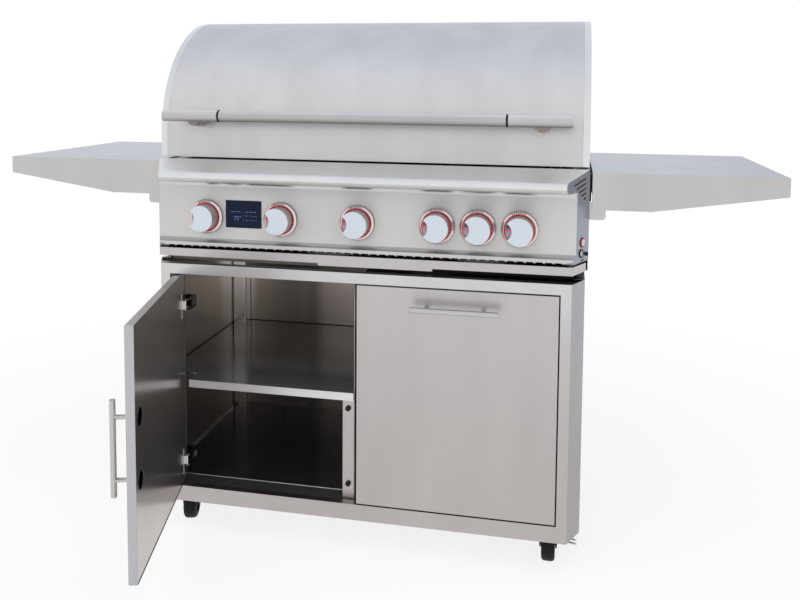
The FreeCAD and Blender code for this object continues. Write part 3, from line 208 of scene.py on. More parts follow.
def brushing_group():
    """Fine streaks and broad bands of a brushed sheet: its colour, roughness and height."""
    inputs = {"Streaks": "Vector", "Bands": "Vector", "Color": "Color", "Roughness": "Float",
              "Contrast": "Float"}
    outputs = {"Color": "Color", "Roughness": "Float", "Height": "Float"}
    group, given, result = new_group("brushing", inputs, outputs)
    fine_noise = {"Vector": given["Streaks"], "Scale": 1.0, "Detail": 4.0, "Roughness": 0.6}
    broad_noise = {"Vector": given["Bands"], "Scale": 1.0, "Detail": 3.0}
    fine_share = 0.4
    streaks = add_node(group, "ShaderNodeTexNoise", fine_noise).outputs["Fac"]
    bands = add_node(group, "ShaderNodeTexNoise", broad_noise).outputs["Fac"]
    fine = math_node(group, "SUBTRACT", streaks, 0.5)
    broad = math_node(group, "SUBTRACT", bands, 0.5)
    both = math_node(group, "MULTIPLY_ADD", fine, fine_share, broad)
    swing = math_node(group, "MULTIPLY", both, given["Contrast"])
    brighter = math_node(group, "ADD", swing, 1.0)
    smoother = math_node(group, "SUBTRACT", 1.0, swing)
    tint = add_node(group, "ShaderNodeHueSaturation", {"Color": given["Color"], "Value": brighter})
    rough = math_node(group, "MULTIPLY", smoother, given["Roughness"])
    feed(group, result, {"Color": tint.outputs["Color"], "Roughness": rough, "Height": streaks})
    return group


brushing = brushing_group()
across_grain = 900.0
along_grain = 9.0
across_bands = 10.0
along_bands = 1.8
brushing_depth = 0.0005


def turned_along(tree, place, first, axis, low, high, *further):
    """A colour that turns from the first to each further one along an axis, between two levels."""
    part = add_node(tree, "ShaderNodeSeparateXYZ", {"Vector": place})
    reached = first
    for step, next_color in enumerate(further):
        start = low + (high - low) * step / len(further)
        mask = ramp_node(tree, part.outputs[axis], start, start + (high - low) / len(further))
        reached = blend_node(tree, mask, reached, next_color)
    return reached


def add_relief(tree, shader, height, strength, depth):
    """Lets a height bump the shader's normal."""
    relief = add_node(tree, "ShaderNodeBump", {"Height": height, "Strength": strength, "Distance": depth})
    feed(tree, shader, {"Normal": relief.outputs["Normal"]})


# fade and shades carry painted light and shade: colours along an axis that stand in for how light falls.
def brushed_steel(name, color, roughness, grain="X", contrast=0.16, bump=0.03, metal=1.0, fade=None,
                  shades=()):
    """Stainless sheet, brushed along one axis; fade turns its colour along an axis, and shades darken it."""
    material, tree, shader, place = new_material(name)
    shown_color = turned_along(tree, place, color, *fade) if fade else color
    for axis, low, high, *greys in shades:
        shade = turned_along(tree, place, white, axis, low, high, *[(grey, grey, grey) for grey in greys])
        shown_color = blend_node(tree, 1.0, shown_color, shade, way="MULTIPLY")
    streaks_scale = [along_grain if axis == grain else across_grain for axis in "XYZ"]
    bands_scale = (across_bands, across_bands, along_bands)
    streaks = add_node(tree, "ShaderNodeMapping", {"Vector": place, "Scale": streaks_scale})
    bands = add_node(tree, "ShaderNodeMapping", {"Vector": place, "Scale": bands_scale})
    sheet = {"Streaks": streaks.outputs["Vector"], "Bands": bands.outputs["Vector"], "Color": shown_color,
             "Roughness": roughness, "Contrast": contrast}
    brushed = add_node(tree, "ShaderNodeGroup", sheet, node_tree=brushing).outputs
    feed(tree, shader, {"Base Color": brushed["Color"], "Roughness": brushed["Roughness"], "Metallic": metal})
    add_relief(tree, shader, brushed["Height"], bump, brushing_depth)
    return material


merge_distance = 0.00001
flat_angle = math.radians(1)
rounding_angle = math.radians(20)
crease_angle = math.radians(35)
rounding_steps = 3


def finished(name, form, materials, body, slot, *replaced):
    """Makes a piece of a bmesh, shades it smoothly between sharp edges and lets it ride on a body."""
    mesh = bpy.data.meshes.new(name)
    form.to_mesh(mesh)
    form.free()
    mesh.shade_smooth()
    mesh.set_sharp_from_angle(angle=crease_angle)
    for material in materials if isinstance(materials, list) else [materials]:
        mesh.materials.append(material)
    piece = bpy.data.objects.new(name, mesh)
    scene.collection.objects.link(piece)
    shading = piece.modifiers.new("even_shading", "WEIGHTED_NORMAL")
    shading.keep_sharp = True
    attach(piece, body)
    if replaced:
        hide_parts(*replaced)
    return piece


def cad_form(node, whole):
    """A merged copy of a CAD node's mesh; whole joins its flat faces again, where none surrounds a hole."""
    form = bmesh.new()
    form.from_mesh(frame["nodes"][node].data)
    bmesh.ops.remove_doubles(form, verts=form.verts, dist=merge_distance)
    if whole:
        bmesh.ops.dissolve_limit(form, angle_limit=flat_angle, verts=form.verts, edges=form.edges)
    return form


def round_edges(form, radius):
    """Rounds the outer edges between faces that reach far enough back from the edge for the radius."""
    edges = []
    for edge in form.edges:
        if len(edge.link_faces) != 2 or not edge.is_convex:
            continue
        reach = min(face.calc_area() for face in edge.link_faces) / edge.calc_length()
        if reach > radius * 2 and edge.calc_face_angle() > rounding_angle:
            edges.append(edge)
    bmesh.ops.bevel(form, geom=edges, offset=radius, offset_type="OFFSET", affect="EDGES",
                    segments=rounding_steps, profile=0.5, material=-1, clamp_overlap=True)


def rounded_copy(node, materials, radius=0.0015, choose=None, whole=True):
    """A CAD node's own shape with its outer edges rounded; choose picks a material number for a face."""
    form = cad_form(node, whole)
    if radius:
        round_edges(form, radius)
    form.normal_update()
    if choose:
        for face in form.faces:
            face.material_index = choose(face)
    return finished(node + "_finished", form, materials, body_of[node], slot_of[node], node)


front_color = (0.50, 0.465, 0.46)
# Painted shade: the front sheet is darker towards the floor and lighter towards the top, as light falls.
front_painted_shade = ("Z", 0.15, 0.72, (0.56, 0.54, 0.535))
# Painted shade and sheen: the frame is darker towards the floor, and its top rail is painted with a bluish
# sheen.
frame_shade_and_sheen = ("Z", 0.10, 0.64, (0.52, 0.49, 0.485), (0.55, 0.53, 0.525), (0.65, 0.655, 0.675))
# Painted shade: the flared corners, facing sideways, take a darker bluish copy of the steel, a little lighter
# higher up.
flare_shade_by_height = ("Z", 0.15, 0.65, (0.41, 0.41, 0.43))
flare_facing = 0.6
stainless_front = brushed_steel("stainless_front", front_color, 0.36, fade=front_painted_shade)
stainless_side = brushed_steel("stainless_side", (0.56, 0.56, 0.57), 0.36, grain="Y")
stainless_frame = brushed_steel("stainless_frame", front_color, 0.36, fade=frame_shade_and_sheen)
flare_painted_shade = brushed_steel("flare_painted_shade", (0.38, 0.37, 0.38), 0.36, fade=flare_shade_by_height)
rounded_copy("cart_front_frame", [stainless_frame, flare_painted_shade], radius=0.0018,
             choose=lambda face: 1 if abs(face.normal.x) > flare_facing else 0)

# Cabinet walls: side panels, vented back panel, divider and posts of mill-finished sheet, welded into a box.
# Inside, the bare sheet is greyer, and painted shade makes it darker below the shelf and just under the grill
# head. A painted dark reflection runs down the back wall as an upright band.
wall_shade_color = (0.33, 0.30, 0.28)
wall_painted_shade = ("Z", 0.26, 0.42, (0.60, 0.545, 0.505))
wall_top_shade = ("Z", 0.55, 0.64, 0.35)
back_top_shade = ("Z", 0.485, 0.515, 0.18)
back_band_shade = ("X", -0.35, -0.22, 0.85, 0.55, 1.0)
# Painted highlight and shade: the posts turn near-white above the shelf, and the right-hand posts are
# near-black.
post_painted_highlight = ("Z", 0.26, 0.42, (0.92, 0.89, 0.86))
stainless_inside = brushed_steel("stainless_inside", wall_shade_color, 0.28, grain="Y", contrast=0.1, bump=0.0,
                                 metal=0.8, fade=wall_painted_shade, shades=[wall_top_shade])
stainless_back = brushed_steel("stainless_back", wall_shade_color, 0.28, grain="Z", contrast=0.12, bump=0.0,
                               metal=0.8, fade=wall_painted_shade, shades=[back_top_shade, back_band_shade])
stainless_post = brushed_steel("stainless_post", (0.46, 0.43, 0.41), 0.2, grain="Z", metal=0.75,
                               fade=post_painted_highlight)
post_painted_shade = brushed_steel("post_painted_shade", (0.05, 0.05, 0.055), 0.3, grain="Z", metal=0.8)
rounded_copy("cart_side_panels", [stainless_side, stainless_inside],
             choose=lambda face: 1 if face.normal.x * face.calc_center_median().x < 0 else 0)
rounded_copy("cart_back_panel", [stainless_back, stainless_side], radius=0.0004,
             choose=lambda face: 1 if face.normal.y > 0.5 else 0)
rounded_copy("cart_divider", stainless_inside, radius=0.0004)
rounded_copy("cart_corner_posts", [stainless_post, post_painted_shade], radius=0.004,
             choose=lambda face: 1 if face.calc_center_median().x > 0 else 0)
rounded_copy("cart_center_post", stainless_front, radius=0.0012)

# Floor and half-height shelf: folded pans that mirror the walls, painted dark as shade. The shelf is painted
# with a bluish sheen towards the front and a highlight on its front lip. The front frame's return flange lies
# on the floor and ends in a hemmed edge, the flange painted dark as shade and the hem painted near-white as a
# highlight, and a narrow strip covers the floor's seam along the side wall.
shelf_sheen_color = (0.46, 0.48, 0.55)
shelf_painted_shade = ("Y", 0.02, 0.26, (0.165, 0.16, 0.158))
stainless_shelf = brushed_steel("stainless_shelf", shelf_sheen_color, 0.12, grain="Y", bump=0.01, metal=0.85,
                                fade=shelf_painted_shade)
# Painted highlight: the shelf's front lip is a lighter copy of the steel.
lip_painted_highlight = brushed_steel("lip_painted_highlight", (0.74, 0.735, 0.745), 0.34)
# Painted shade: the floor pan and the flange are near-black; the hem is painted near-white as a highlight.
floor_painted_shade = brushed_steel("floor_painted_shade", (0.17, 0.165, 0.165), 0.14, contrast=0.3, bump=0.01,
                                metal=0.9)
flange_painted_shade = brushed_steel("flange_painted_shade", (0.17, 0.175, 0.20), 0.22, metal=0.75)
hem_painted_highlight = brushed_steel("hem_painted_highlight", (0.85, 0.85, 0.87), 0.3, metal=0.45)
stainless_strip = brushed_steel("stainless_strip", (0.56, 0.53, 0.50), 0.25, grain="Y", metal=0.6)
rounded_copy("cart_base_pan", floor_painted_shade, whole=False)
rounded_copy("cart_inner_shelf", [stainless_shelf, lip_painted_highlight], radius=0.0012,
             choose=lambda face: 1 if face.normal.y < -0.5 else 0)


def bar_form(low, high, rounding=0.25):
    """A small block between two corners, its edges rounded by a share of its thickness."""
    form = bmesh.new()
    middle = (Vector(low) + Vector(high)) / 2
    extent = Vector(high) - Vector(low)
    place = Matrix.Translation(middle) @ Matrix.Diagonal((*extent, 1.0))
    bmesh.ops.create_cube(form, size=1.0, matrix=place)
    bmesh.ops.bevel(form, geom=form.edges[:], offset=min(extent) * rounding, offset_type="OFFSET",
                    affect="EDGES", segments=2, profile=0.5, material=-1)
    return form


def joined(*forms):
    """One bmesh of several."""
    whole = bmesh.new()
    for form in forms:
        part = bpy.data.meshes.new("part")
        form.to_mesh(part)
        form.free()
        whole.from_mesh(part)
        bpy.data.meshes.remove(part)
    return whole


floor_level = 0.105
flange_left, flange_right = -0.440, -0.040
flange_front, flange_rear = 0.0015, 0.062
flange_thick = 0.0012
hem_half = 0.0012
hem_height = 0.0020
strip_left, strip_right = -0.4950, -0.4870
strip_front, strip_rear = 0.085, 0.460
strip_height = 0.009
flange = bar_form((flange_left, flange_front, floor_level),
                  (flange_right, flange_rear, floor_level + flange_thick))
hem = bar_form((flange_left, flange_rear - hem_half, floor_level),
               (flange_right, flange_rear + hem_half, floor_level + hem_height), rounding=0.45)
edge_strip = bar_form((strip_left, strip_front, floor_level),
                      (strip_right, strip_rear, floor_level + strip_height), rounding=0.2)
finished("floor_flange", flange, flange_painted_shade, "cart", "stainless_inside")
finished("floor_hem", hem, hem_painted_highlight, "cart", "stainless_inside")
finished("floor_edge_strip", edge_strip, stainless_strip, "cart", "stainless_inside")


# Door bumpers: soft rubber buttons pushed into the centre post, which the closed door rests on.
# They are matte and nearly black, with the fine uneven skin of a moulding.
def skin_group():
    """The uneven skin of a moulding: its colour and height."""
    inputs = {"Place": "Vector", "Texture": "Float", "Color": "Color"}
    group, given, result = new_group("moulded_skin", inputs, {"Color": "Color", "Height": "Float"})
    noise = {"Vector": given["Place"], "Scale": given["Texture"]}
    skin = add_node(group, "ShaderNodeTexNoise", noise).outputs["Fac"]
    brighter = math_node(group, "ADD", skin, 0.5)
    tint = add_node(group, "ShaderNodeHueSaturation", {"Color": given["Color"], "Value": brighter})
    feed(group, result, {"Color": tint.outputs["Color"], "Height": skin})
    return group


moulded_skin = skin_group()
skin_depth = 0.0003


def moulded(name, color, roughness, texture=900.0, bump=0.12, shine=0.5):
    """Moulded rubber, plastic or paint: one colour with a fine uneven skin."""
    material, tree, shader, place = new_material(name)
    moulding = {"Place": place, "Texture": texture, "Color": color}
    skin = add_node(tree, "ShaderNodeGroup", moulding, node_tree=moulded_skin).outputs
    feed(tree, shader, {"Base Color": skin["Color"], "Roughness": roughness, "Specular IOR Level": shine})
    add_relief(tree, shader, skin["Height"], bump, skin_depth)
    return material


bumper_rubber = moulded("bumper_rubber", (0.012, 0.012, 0.012), 0.6, shine=0.25)
rounded_copy("door_bumpers", bumper_rubber, radius=0.0015)

# Sealant beads and front stiffener: rubbery beads run where the shelf meets the side wall and the back.
# The stiffener is a steel bar welded across the front posts, in the gap under the drip tray's rail, and its
# right end is painted near-black as the shade in the gap.
shelf_level = 0.357
shelf_front = 0.062
wall_inside = -0.4949
back_inside = 0.5185
divider_left = -0.0115
bead = 0.0016
side_bead = bar_form((wall_inside, shelf_front, shelf_level),
                     (wall_inside + bead, back_inside, shelf_level + bead), rounding=0.4)
rear_bead = bar_form((wall_inside, back_inside - bead, shelf_level),
                     (divider_left, back_inside, shelf_level + bead), rounding=0.4)
finished("shelf_beads", joined(side_bead, rear_bead), bumper_rubber, "cart", "soft_rubber")
shade_black = (0.010, 0.011, 0.014)
cabinet_top = 0.639
post_front = 0.057
stiffener_left, stiffener_right = -0.462, 0.474
stiffener_thick = 0.009
stiffener_height = 0.0125
# Painted shade: the stiffener turns near-black at its right end.
stiffener_painted_shade = ("X", 0.160, 0.168, shade_black)
stiffener_steel = brushed_steel("stiffener_steel", (0.30, 0.275, 0.265), 0.4, metal=0.5, fade=stiffener_painted_shade)
stiffener = bar_form((stiffener_left, post_front - stiffener_thick, cabinet_top),
                     (stiffener_right, post_front, cabinet_top + stiffener_height), rounding=0.15)
finished("front_stiffener", stiffener, stiffener_steel, "cart", "stainless_inside")

# Door: a shallow stainless pan with an inner panel, hung on two concealed hinges and standing open.
# The inner panel is darker mill finish, with two access holes behind the handle's posts.
joint_of = {joint["name"]: joint for joint in frame["record"]["behaviour"]["joints"]}
door_opening = -math.radians(joint_of["door_hinge"]["range_deg"][0])
into_cabinet = Matrix.Rotation(-door_opening, 3, "Z") @ Vector((0, 1, 0))
to_free_edge = Matrix.Rotation(-door_opening, 3, "Z") @ Vector((1, 0, 0))
door_pivot = Vector(joint_of["door_hinge"]["pos_m"])
hinge_shade_width = 0.02
flat_facing = 0.9
edge_facing = 0.7
# The door's outer face takes the same painted shade, darker towards the floor.
stainless_door = brushed_steel("stainless_door", front_color, 0.34, grain="Z", fade=front_painted_shade)
stainless_door_edge = brushed_steel("stainless_door_edge", (0.50, 0.51, 0.53), 0.34, grain="Z")
stainless_door_inside = brushed_steel("stainless_door_inside", (0.50, 0.465, 0.45), 0.22, grain="Z",
                                      metal=0.88)
# Painted shade: the pan's rim at the hinges and the inner panel's edges are near-black.
door_hinge_shade = brushed_steel("door_hinge_shade", (0.08, 0.078, 0.076), 0.4, grain="Z", metal=0.7)


def door_finish(face):
    """The number of the outer face, the folded free edge, the inside or the painted shade at the hinges."""
    inward = face.normal.dot(into_cabinet)
    at_hinges = (face.calc_center_median() - door_pivot).dot(to_free_edge) < hinge_shade_width
    if at_hinges and inward > -flat_facing:
        return 3
    if inward > edge_facing:
        return 2
    return 1 if face.normal.dot(to_free_edge) > edge_facing else 0


rounded_copy("door_panel", [stainless_door, stainless_door_edge, stainless_door_inside, door_hinge_shade],
             radius=0.0016, choose=door_finish)
rounded_copy("door_inner_panel", [stainless_door_inside, door_hinge_shade], radius=0.0004,
             choose=lambda face: 1 if abs(face.normal.dot(into_cabinet)) < flat_facing else 0)
polished_bar = brushed_steel("polished_bar", (0.56, 0.555, 0.55), 0.27, contrast=0.12)
rounded_copy("door_handle", polished_bar, radius=0.0008)
hinge_steel = brushed_steel("hinge_steel", (0.66, 0.65, 0.64), 0.2, grain="Z", contrast=0.1)
hinge_dark = brushed_steel("hinge_dark", (0.20, 0.19, 0.185), 0.3, grain="Z", contrast=0.2)
rounded_copy("door_hinge_cups", hinge_steel, radius=0.0004)
rounded_copy("door_hinge_arms", hinge_dark, radius=0.0006)

# Drawer: a front like the door's, a bar handle and a bottle tray on two telescopic slides.
# The tray and slides are plain mill-finished and zinc-plated sheet.
# The drawer front takes the same painted shade, darker towards the floor.
rounded_copy("drawer_front", stainless_front, radius=0.0016)
rounded_copy("drawer_handle", polished_bar, radius=0.0008)
tray_sheet = brushed_steel("tray_sheet", (0.45, 0.44, 0.43), 0.32, contrast=0.3)
rounded_copy("drawer_tray", tray_sheet, whole=False)
rounded_copy("drawer_slide_rails", hinge_steel, radius=0.0004)
rounded_copy("drawer_slide_middles", hinge_steel, radius=0.0004)
rounded_copy("drawer_slide_runners", hinge_steel, radius=0.0006)

# Casters: pressed plates under the base pan, black painted forks that swivel and black rubber wheels.
# The tyres have rounded shoulders, each wheel a hub with a cap, and the front forks a brake pedal.
caster_paint = moulded("caster_paint", (0.008, 0.008, 0.010), 0.4, shine=0.2)
wheel_rubber = moulded("wheel_rubber", (0.008, 0.008, 0.010), 0.55, texture=420.0, bump=0.5, shine=0.18)
seam_distance = 0.000001


def turned_shape(profile, place, axis, steps=48):
    """Turns a closed profile of (radius, distance along the axis) about an axis through a place."""
    form = bmesh.new()
    points = [form.verts.new((radius, 0, along)) for radius, along in profile]
    edges = [form.edges.new(ends) for ends in zip(points, points[1:] + points[:1])]
    bmesh.ops.spin(form, geom=points + edges, cent=(0, 0, 0), axis=(0, 0, 1), angle=math.tau, steps=steps,
                   use_merge=True)
    bmesh.ops.remove_doubles(form, verts=form.verts, dist=seam_distance)
    bmesh.ops.recalc_face_normals(form, faces=form.faces)
    turn = Vector((0, 0, 1)).rotation_difference(Vector(axis)).to_matrix().to_4x4()
    form.transform(Matrix.Translation(place) @ turn)
    return form


tyre_shoulder = 0.008
shoulder_turns = (0, 0.4, 0.8, 1.2, math.pi / 2)
wheel_half = 0.015
hub_radius = 0.024
hub_slope = 0.0015
hub_sunk = wheel_half - 0.004
cap_radius = 0.0095
axle_radius = 0.0041
for number in range(1, 5):
    rounded_copy(f"caster_fork_{number}", caster_paint, radius=0.0012)
    wheel = f"caster_wheel_{number}"
    low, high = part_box(wheel)
    wheel_radius = (high.z - low.z) / 2
    outer_side = [(wheel_radius - tyre_shoulder * (1 - math.cos(turn)),
                   wheel_half - tyre_shoulder * (1 - math.sin(turn))) for turn in shoulder_turns]
    outer_side += [(hub_radius, wheel_half), (hub_radius - hub_slope, hub_sunk),
                   (cap_radius + hub_slope, hub_sunk), (cap_radius, wheel_half), (axle_radius, wheel_half)]
    other_side = [(radius, -along) for radius, along in reversed(outer_side)]
    roll_axis = joint_of[f"caster_{number}_roll"]["axis"]
    wheel_form = turned_shape(outer_side + other_side, (low + high) / 2, roll_axis)
    finished(wheel + "_finished", wheel_form, wheel_rubber, body_of[wheel], slot_of[wheel], wheel)
rounded_copy("caster_plates", hinge_steel, radius=0.0008)
pedal_length, pedal_half, pedal_thick = 0.024, 0.011, 0.0012
pedal_right, pedal_forward = 0.018, 0.004
pedal_dip = math.radians(7)
prong_start, prong_end = 0.020, 0.044
prong_spread, prong_half, prong_thick = 0.008, 0.003, 0.0014
bolt_profile = [(0.0, 0.0), (0.0042, 0.0), (0.0045, 0.0006), (0.0045, 0.0026), (0.0038, 0.0034),
                (0.0, 0.0036)]
bolt_along, bolt_spread, bolt_level = 0.011, 0.006, 0.0010


def brake_pedal(number, material, level):
    """A pressed pedal beside the fork, with two prongs for the shoe and two bolt heads."""
    parts = [bar_form((0, -pedal_half, -pedal_thick), (pedal_length, pedal_half, pedal_thick), rounding=0.3)]
    for middle in (-prong_spread, prong_spread):
        parts.append(bar_form((prong_start, middle - prong_half, -prong_thick),
                              (prong_end, middle + prong_half, prong_thick), rounding=0.3))
    for middle in (-bolt_spread, bolt_spread):
        parts.append(turned_shape(bolt_profile, (bolt_along, middle, bolt_level), (0, 0, 1), steps=6))
    pedal = joined(*parts)
    spot = Vector(joint_of[f"caster_{number}_swivel"]["pos_m"])
    place = Matrix.Translation((spot.x + pedal_right, spot.y - pedal_forward, level))
    pedal.transform(place @ Matrix.Rotation(pedal_dip, 4, "Y"))
    fork = f"caster_fork_{number}"
    finished(f"brake_pedal_{number}", pedal, material, body_of[fork], slot_of[fork])


brake_pedal(1, caster_paint, level=0.054)
brake_pedal(2, hinge_steel, level=0.046)

# Head sides and back: brushed side plates and a vented rear plate that carry the firebox.
# They are spot-welded to feet that stand on the cabinet's posts.
rounded_copy("head_side_panels", stainless_side)
rounded_copy("head_back_panel", stainless_side, radius=0.0004)

# Firebox and what it holds: bent sheets, tube burners under folded tamers, rod grates, rear burner and rack.
# All are bare stainless, a little straw-coloured by heat.
stainless_fire = brushed_steel("stainless_fire", (0.36, 0.345, 0.33), 0.33, contrast=0.35)
for node in ("flame_tamers", "main_burners", "cooking_grates", "rear_burner"):
    rounded_copy(node, stainless_fire, radius=0.0006)
for node in ("firebox", "warming_rack"):
    rounded_copy(node, stainless_fire, radius=0)

# Rear burner's face: a cast ceramic tile with rows of small pits, held in the burner's steel case.
# It is pale, and the pits are where the gas burns. It is made a metre wide and then brought to size.
burner_low, burner_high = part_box("rear_burner")
burner_middle = (burner_low + burner_high) / 2
tile_lip = 0.0135
tile_sunk = 0.006
tile_columns, tile_rows = 60, 8
tile_thick, pit_rim, pit_depth = 0.1, 0.003, 0.03
tile_depth_scale = 0.05
tile = bmesh.new()
bmesh.ops.create_grid(tile, x_segments=tile_columns, y_segments=tile_rows, size=0.5)
bmesh.ops.solidify(tile, geom=tile.faces[:], thickness=tile_thick)
tile.normal_update()
pits = [face for face in tile.faces if face.normal.z > flat_facing]
bmesh.ops.inset_individual(tile, faces=pits, thickness=pit_rim, depth=0.0)
bmesh.ops.translate(tile, verts=list({vert for face in pits for vert in face.verts}), vec=(0, 0, -pit_depth))
bmesh.ops.recalc_face_normals(tile, faces=tile.faces)
tile_size = burner_high - burner_low - Vector((tile_lip, 0, tile_lip)) * 2
tile_middle = Vector((burner_middle.x, burner_low.y + tile_sunk, burner_middle.z))
tile.transform(Matrix.Translation(tile_middle) @ Matrix.Rotation(math.pi / 2, 4, "X")
               @ Matrix.Diagonal((tile_size.x, tile_size.z, tile_depth_scale, 1.0)))
ceramic = moulded("ceramic", (0.62, 0.55, 0.46), 0.85, texture=260.0, bump=0.3, shine=0.2)
finished("rear_burner_tile", tile, ceramic, "cart", slot_of["rear_burner"])

# Gas manifold: a square brass tube with a valve for each knob, screwed behind the control panel.
# The castings are left raw.
valve_brass = brushed_steel("valve_brass", (0.55, 0.42, 0.20), 0.35)
rounded_copy("gas_manifold", valve_brass, radius=0.0012)

# Control panel: one folded sheet with a bullnose top, welded flared ends with slanted louvres and a notched
# lip. Its face carries the knobs and the screen. Painted highlights lighten the bullnose and the ledge
# behind it, and painted shade darkens the flared ends and the crease above the lip. Black linings and
# baffles close the louvres from behind and stand in for the shade in the openings, and a bead under the
# bullnose carries painted reflections: dark patches above the knobs and the screen.
panel_color = (0.655, 0.645, 0.642)
stainless_panel = brushed_steel("stainless_panel", panel_color, 0.55, metal=0.8)
# Painted highlight on the bullnose and the ledge, painted shade on the flared ends and the crease above the
# lip.
nose_painted_highlight = brushed_steel("nose_painted_highlight", (0.78, 0.785, 0.79), 0.34)
ledge_painted_highlight = brushed_steel("ledge_painted_highlight", (0.84, 0.825, 0.805), 0.42, metal=0.88)
panel_flare_shade = brushed_steel("panel_flare_shade", (0.33, 0.35, 0.40), 0.34, grain="Y")
crease_painted_shade = brushed_steel("crease_painted_shade", (0.40, 0.392, 0.388), 0.36)
nose_level = 0.834
crease_low, crease_high = 0.6905, 0.7005
end_facing, crease_facing, under_facing = 0.5, 0.3, -0.2


def panel_finish(face):
    """The number of the face, the bullnose, the ledge behind it, a flared end or the crease above the lip."""
    level = face.calc_center_median().z
    if abs(face.normal.x) > end_facing:
        return 3
    if crease_low < level < crease_high and face.normal.z > crease_facing:
        return 4
    if level < nose_level or face.normal.z < under_facing:
        return 0
    return 2 if face.normal.z > flat_facing else 1


rounded_copy("control_panel", [stainless_panel, nose_painted_highlight, ledge_painted_highlight, panel_flare_shade, crease_painted_shade],
             radius=0.0011, choose=panel_finish, whole=False)


def slab(corners, depth):
    """A flat piece with the given outline and a depth in one direction."""
    form = bmesh.new()
    base = form.faces.new([form.verts.new(corner) for corner in corners])
    raised = bmesh.ops.extrude_face_region(form, geom=[base])
    tops = [item for item in raised["geom"] if isinstance(item, bmesh.types.BMVert)]
    bmesh.ops.translate(form, verts=tops, vec=depth)
    bmesh.ops.recalc_face_normals(form, faces=form.faces)
    return form


# Painted shade: the black linings along the slots and the black baffles behind them stand in for the dark
# openings.
louvre_shade_black = moulded("louvre_shade_black", shade_black, 0.45, shine=0.3)
flare_half = 0.4716
flare_slope = 27.6 / 57.0
flare_turn = math.atan(flare_slope)
baffle_inset = 0.005
baffle_thick = 0.0008
baffle_outline = [(-0.014, 0.844), (-0.014, 0.854), (0.051, 0.868), (0.051, 0.808), (0.016, 0.808),
                  (0.016, 0.840)]
baffles = []
for side in (-1, 1):
    corners = [(side * (flare_half - baffle_inset + flare_slope * y), y, z) for y, z in baffle_outline]
    baffles.append(slab(corners, (-side * baffle_thick, 0, 0)))
finished("louvre_shade_baffles", joined(*baffles), louvre_shade_black, "cart", "black_plastic")
louvre_count = 5
louvre_longest, louvre_shorter = 0.0566, 0.0116
louvre_rear = 0.047
louvre_level = 0.8603
louvre_pitch = 0.0105
louvre_half = 0.0018
louvre_slant = math.radians(11.1)
lining_inner, lining_outer = -0.0012, 0.0004
linings = []
for row in range(louvre_count):
    length = louvre_longest - louvre_shorter * row
    spot = (flare_half + flare_slope * louvre_rear, louvre_rear, louvre_level - louvre_pitch * row)
    for side in (-1, 1):
        lining = bar_form((lining_inner, -length, -louvre_half), (lining_outer, 0, louvre_half), rounding=0.2)
        lining.transform(Matrix.Rotation(-flare_turn, 4, "Z") @ Matrix.Rotation(louvre_slant, 4, "X"))
        lining.transform(Matrix.Diagonal((side, 1, 1, 1)) @ Matrix.Translation(spot))
        bmesh.ops.recalc_face_normals(lining, faces=lining.faces)
        linings.append(lining)
finished("louvre_shade_linings", joined(*linings), louvre_shade_black, "cart", "black_plastic")
knob_across = {number: joint_of[f"knob_{number}_turn"]["pos_m"][0] for number in range(1, 7)}
screen_low, screen_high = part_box("display_screen")
screen_middle = (screen_low + screen_high) / 2
screen_shade_half = 0.055
shaded_spots = [(knob_across[number], 0.0) for number in range(2, 7)] + [(screen_middle.x, screen_shade_half)]
shade_near, shade_far = 0.020, 0.045
cloud_scale = (9.0, 9.0, 60.0)
# Painted reflections: the bead under the bullnose is darkened in cloudy patches above the knobs and the
# screen.
nose_shadow = brushed_steel("nose_shadow", panel_color, 0.36)
shadow_tree = nose_shadow.node_tree
shadow_place = add_node(shadow_tree, "ShaderNodeTexCoord").outputs["Object"]
shadow_part = add_node(shadow_tree, "ShaderNodeSeparateXYZ", {"Vector": shadow_place})
shadow_stretch = add_node(shadow_tree, "ShaderNodeMapping", {"Vector": shadow_place, "Scale": cloud_scale})
cloud_noise = {"Vector": shadow_stretch.outputs["Vector"], "Scale": 1.0}
shadow_cloud = add_node(shadow_tree, "ShaderNodeTexNoise", cloud_noise)
from_spot = 1.0
for across, half in shaded_spots:
    offset = math_node(shadow_tree, "SUBTRACT", shadow_part.outputs["X"], across)
    from_edge = math_node(shadow_tree, "SUBTRACT", math_node(shadow_tree, "ABSOLUTE", offset), half)
    from_spot = math_node(shadow_tree, "MINIMUM", from_edge, from_spot)
above_spot = ramp_node(shadow_tree, from_spot, low=shade_far, high=shade_near)
shadow_rise = ramp_node(shadow_tree, shadow_part.outputs["Z"], low=0.8220, high=0.8285)
shadow_cover = ramp_node(shadow_tree, shadow_cloud.outputs["Fac"], low=0.32, high=0.46)
shadow_patch = math_node(shadow_tree, "MULTIPLY", shadow_cover, above_spot)
shadow_mask = math_node(shadow_tree, "MULTIPLY", shadow_patch, shadow_rise)
shadow_color = blend_node(shadow_tree, shadow_mask, panel_color, (0.09, 0.088, 0.085))
feed(shadow_tree, next(node for node in shadow_tree.nodes if node.type == "GROUP"), {"Color": shadow_color})
nose_half = 0.474
nose_front, nose_back = 0.0106, 0.0114
nose_low, nose_high = 0.8215, 0.8330
nose_shadow_bead = bar_form((-nose_half, nose_front, nose_low), (nose_half, nose_back, nose_high), rounding=0.3)
finished("nose_shadow_bead", nose_shadow_bead, nose_shadow, "cart", "stainless")


# Display screen: a dark glass window in the panel, with a plain temperature reading lit in blue.
# The glass stands a little proud of the sheet and hides the seam.
def lit(name, color, glow, strength):
    """A lit plastic or display mark: a colour with an even glow."""
    material = moulded(name, color, 0.4, texture=1500.0, bump=0.0)
    tree = material.node_tree
    feed(tree, tree.nodes["Principled BSDF"], {"Emission Color": glow, "Emission Strength": strength})
    return material


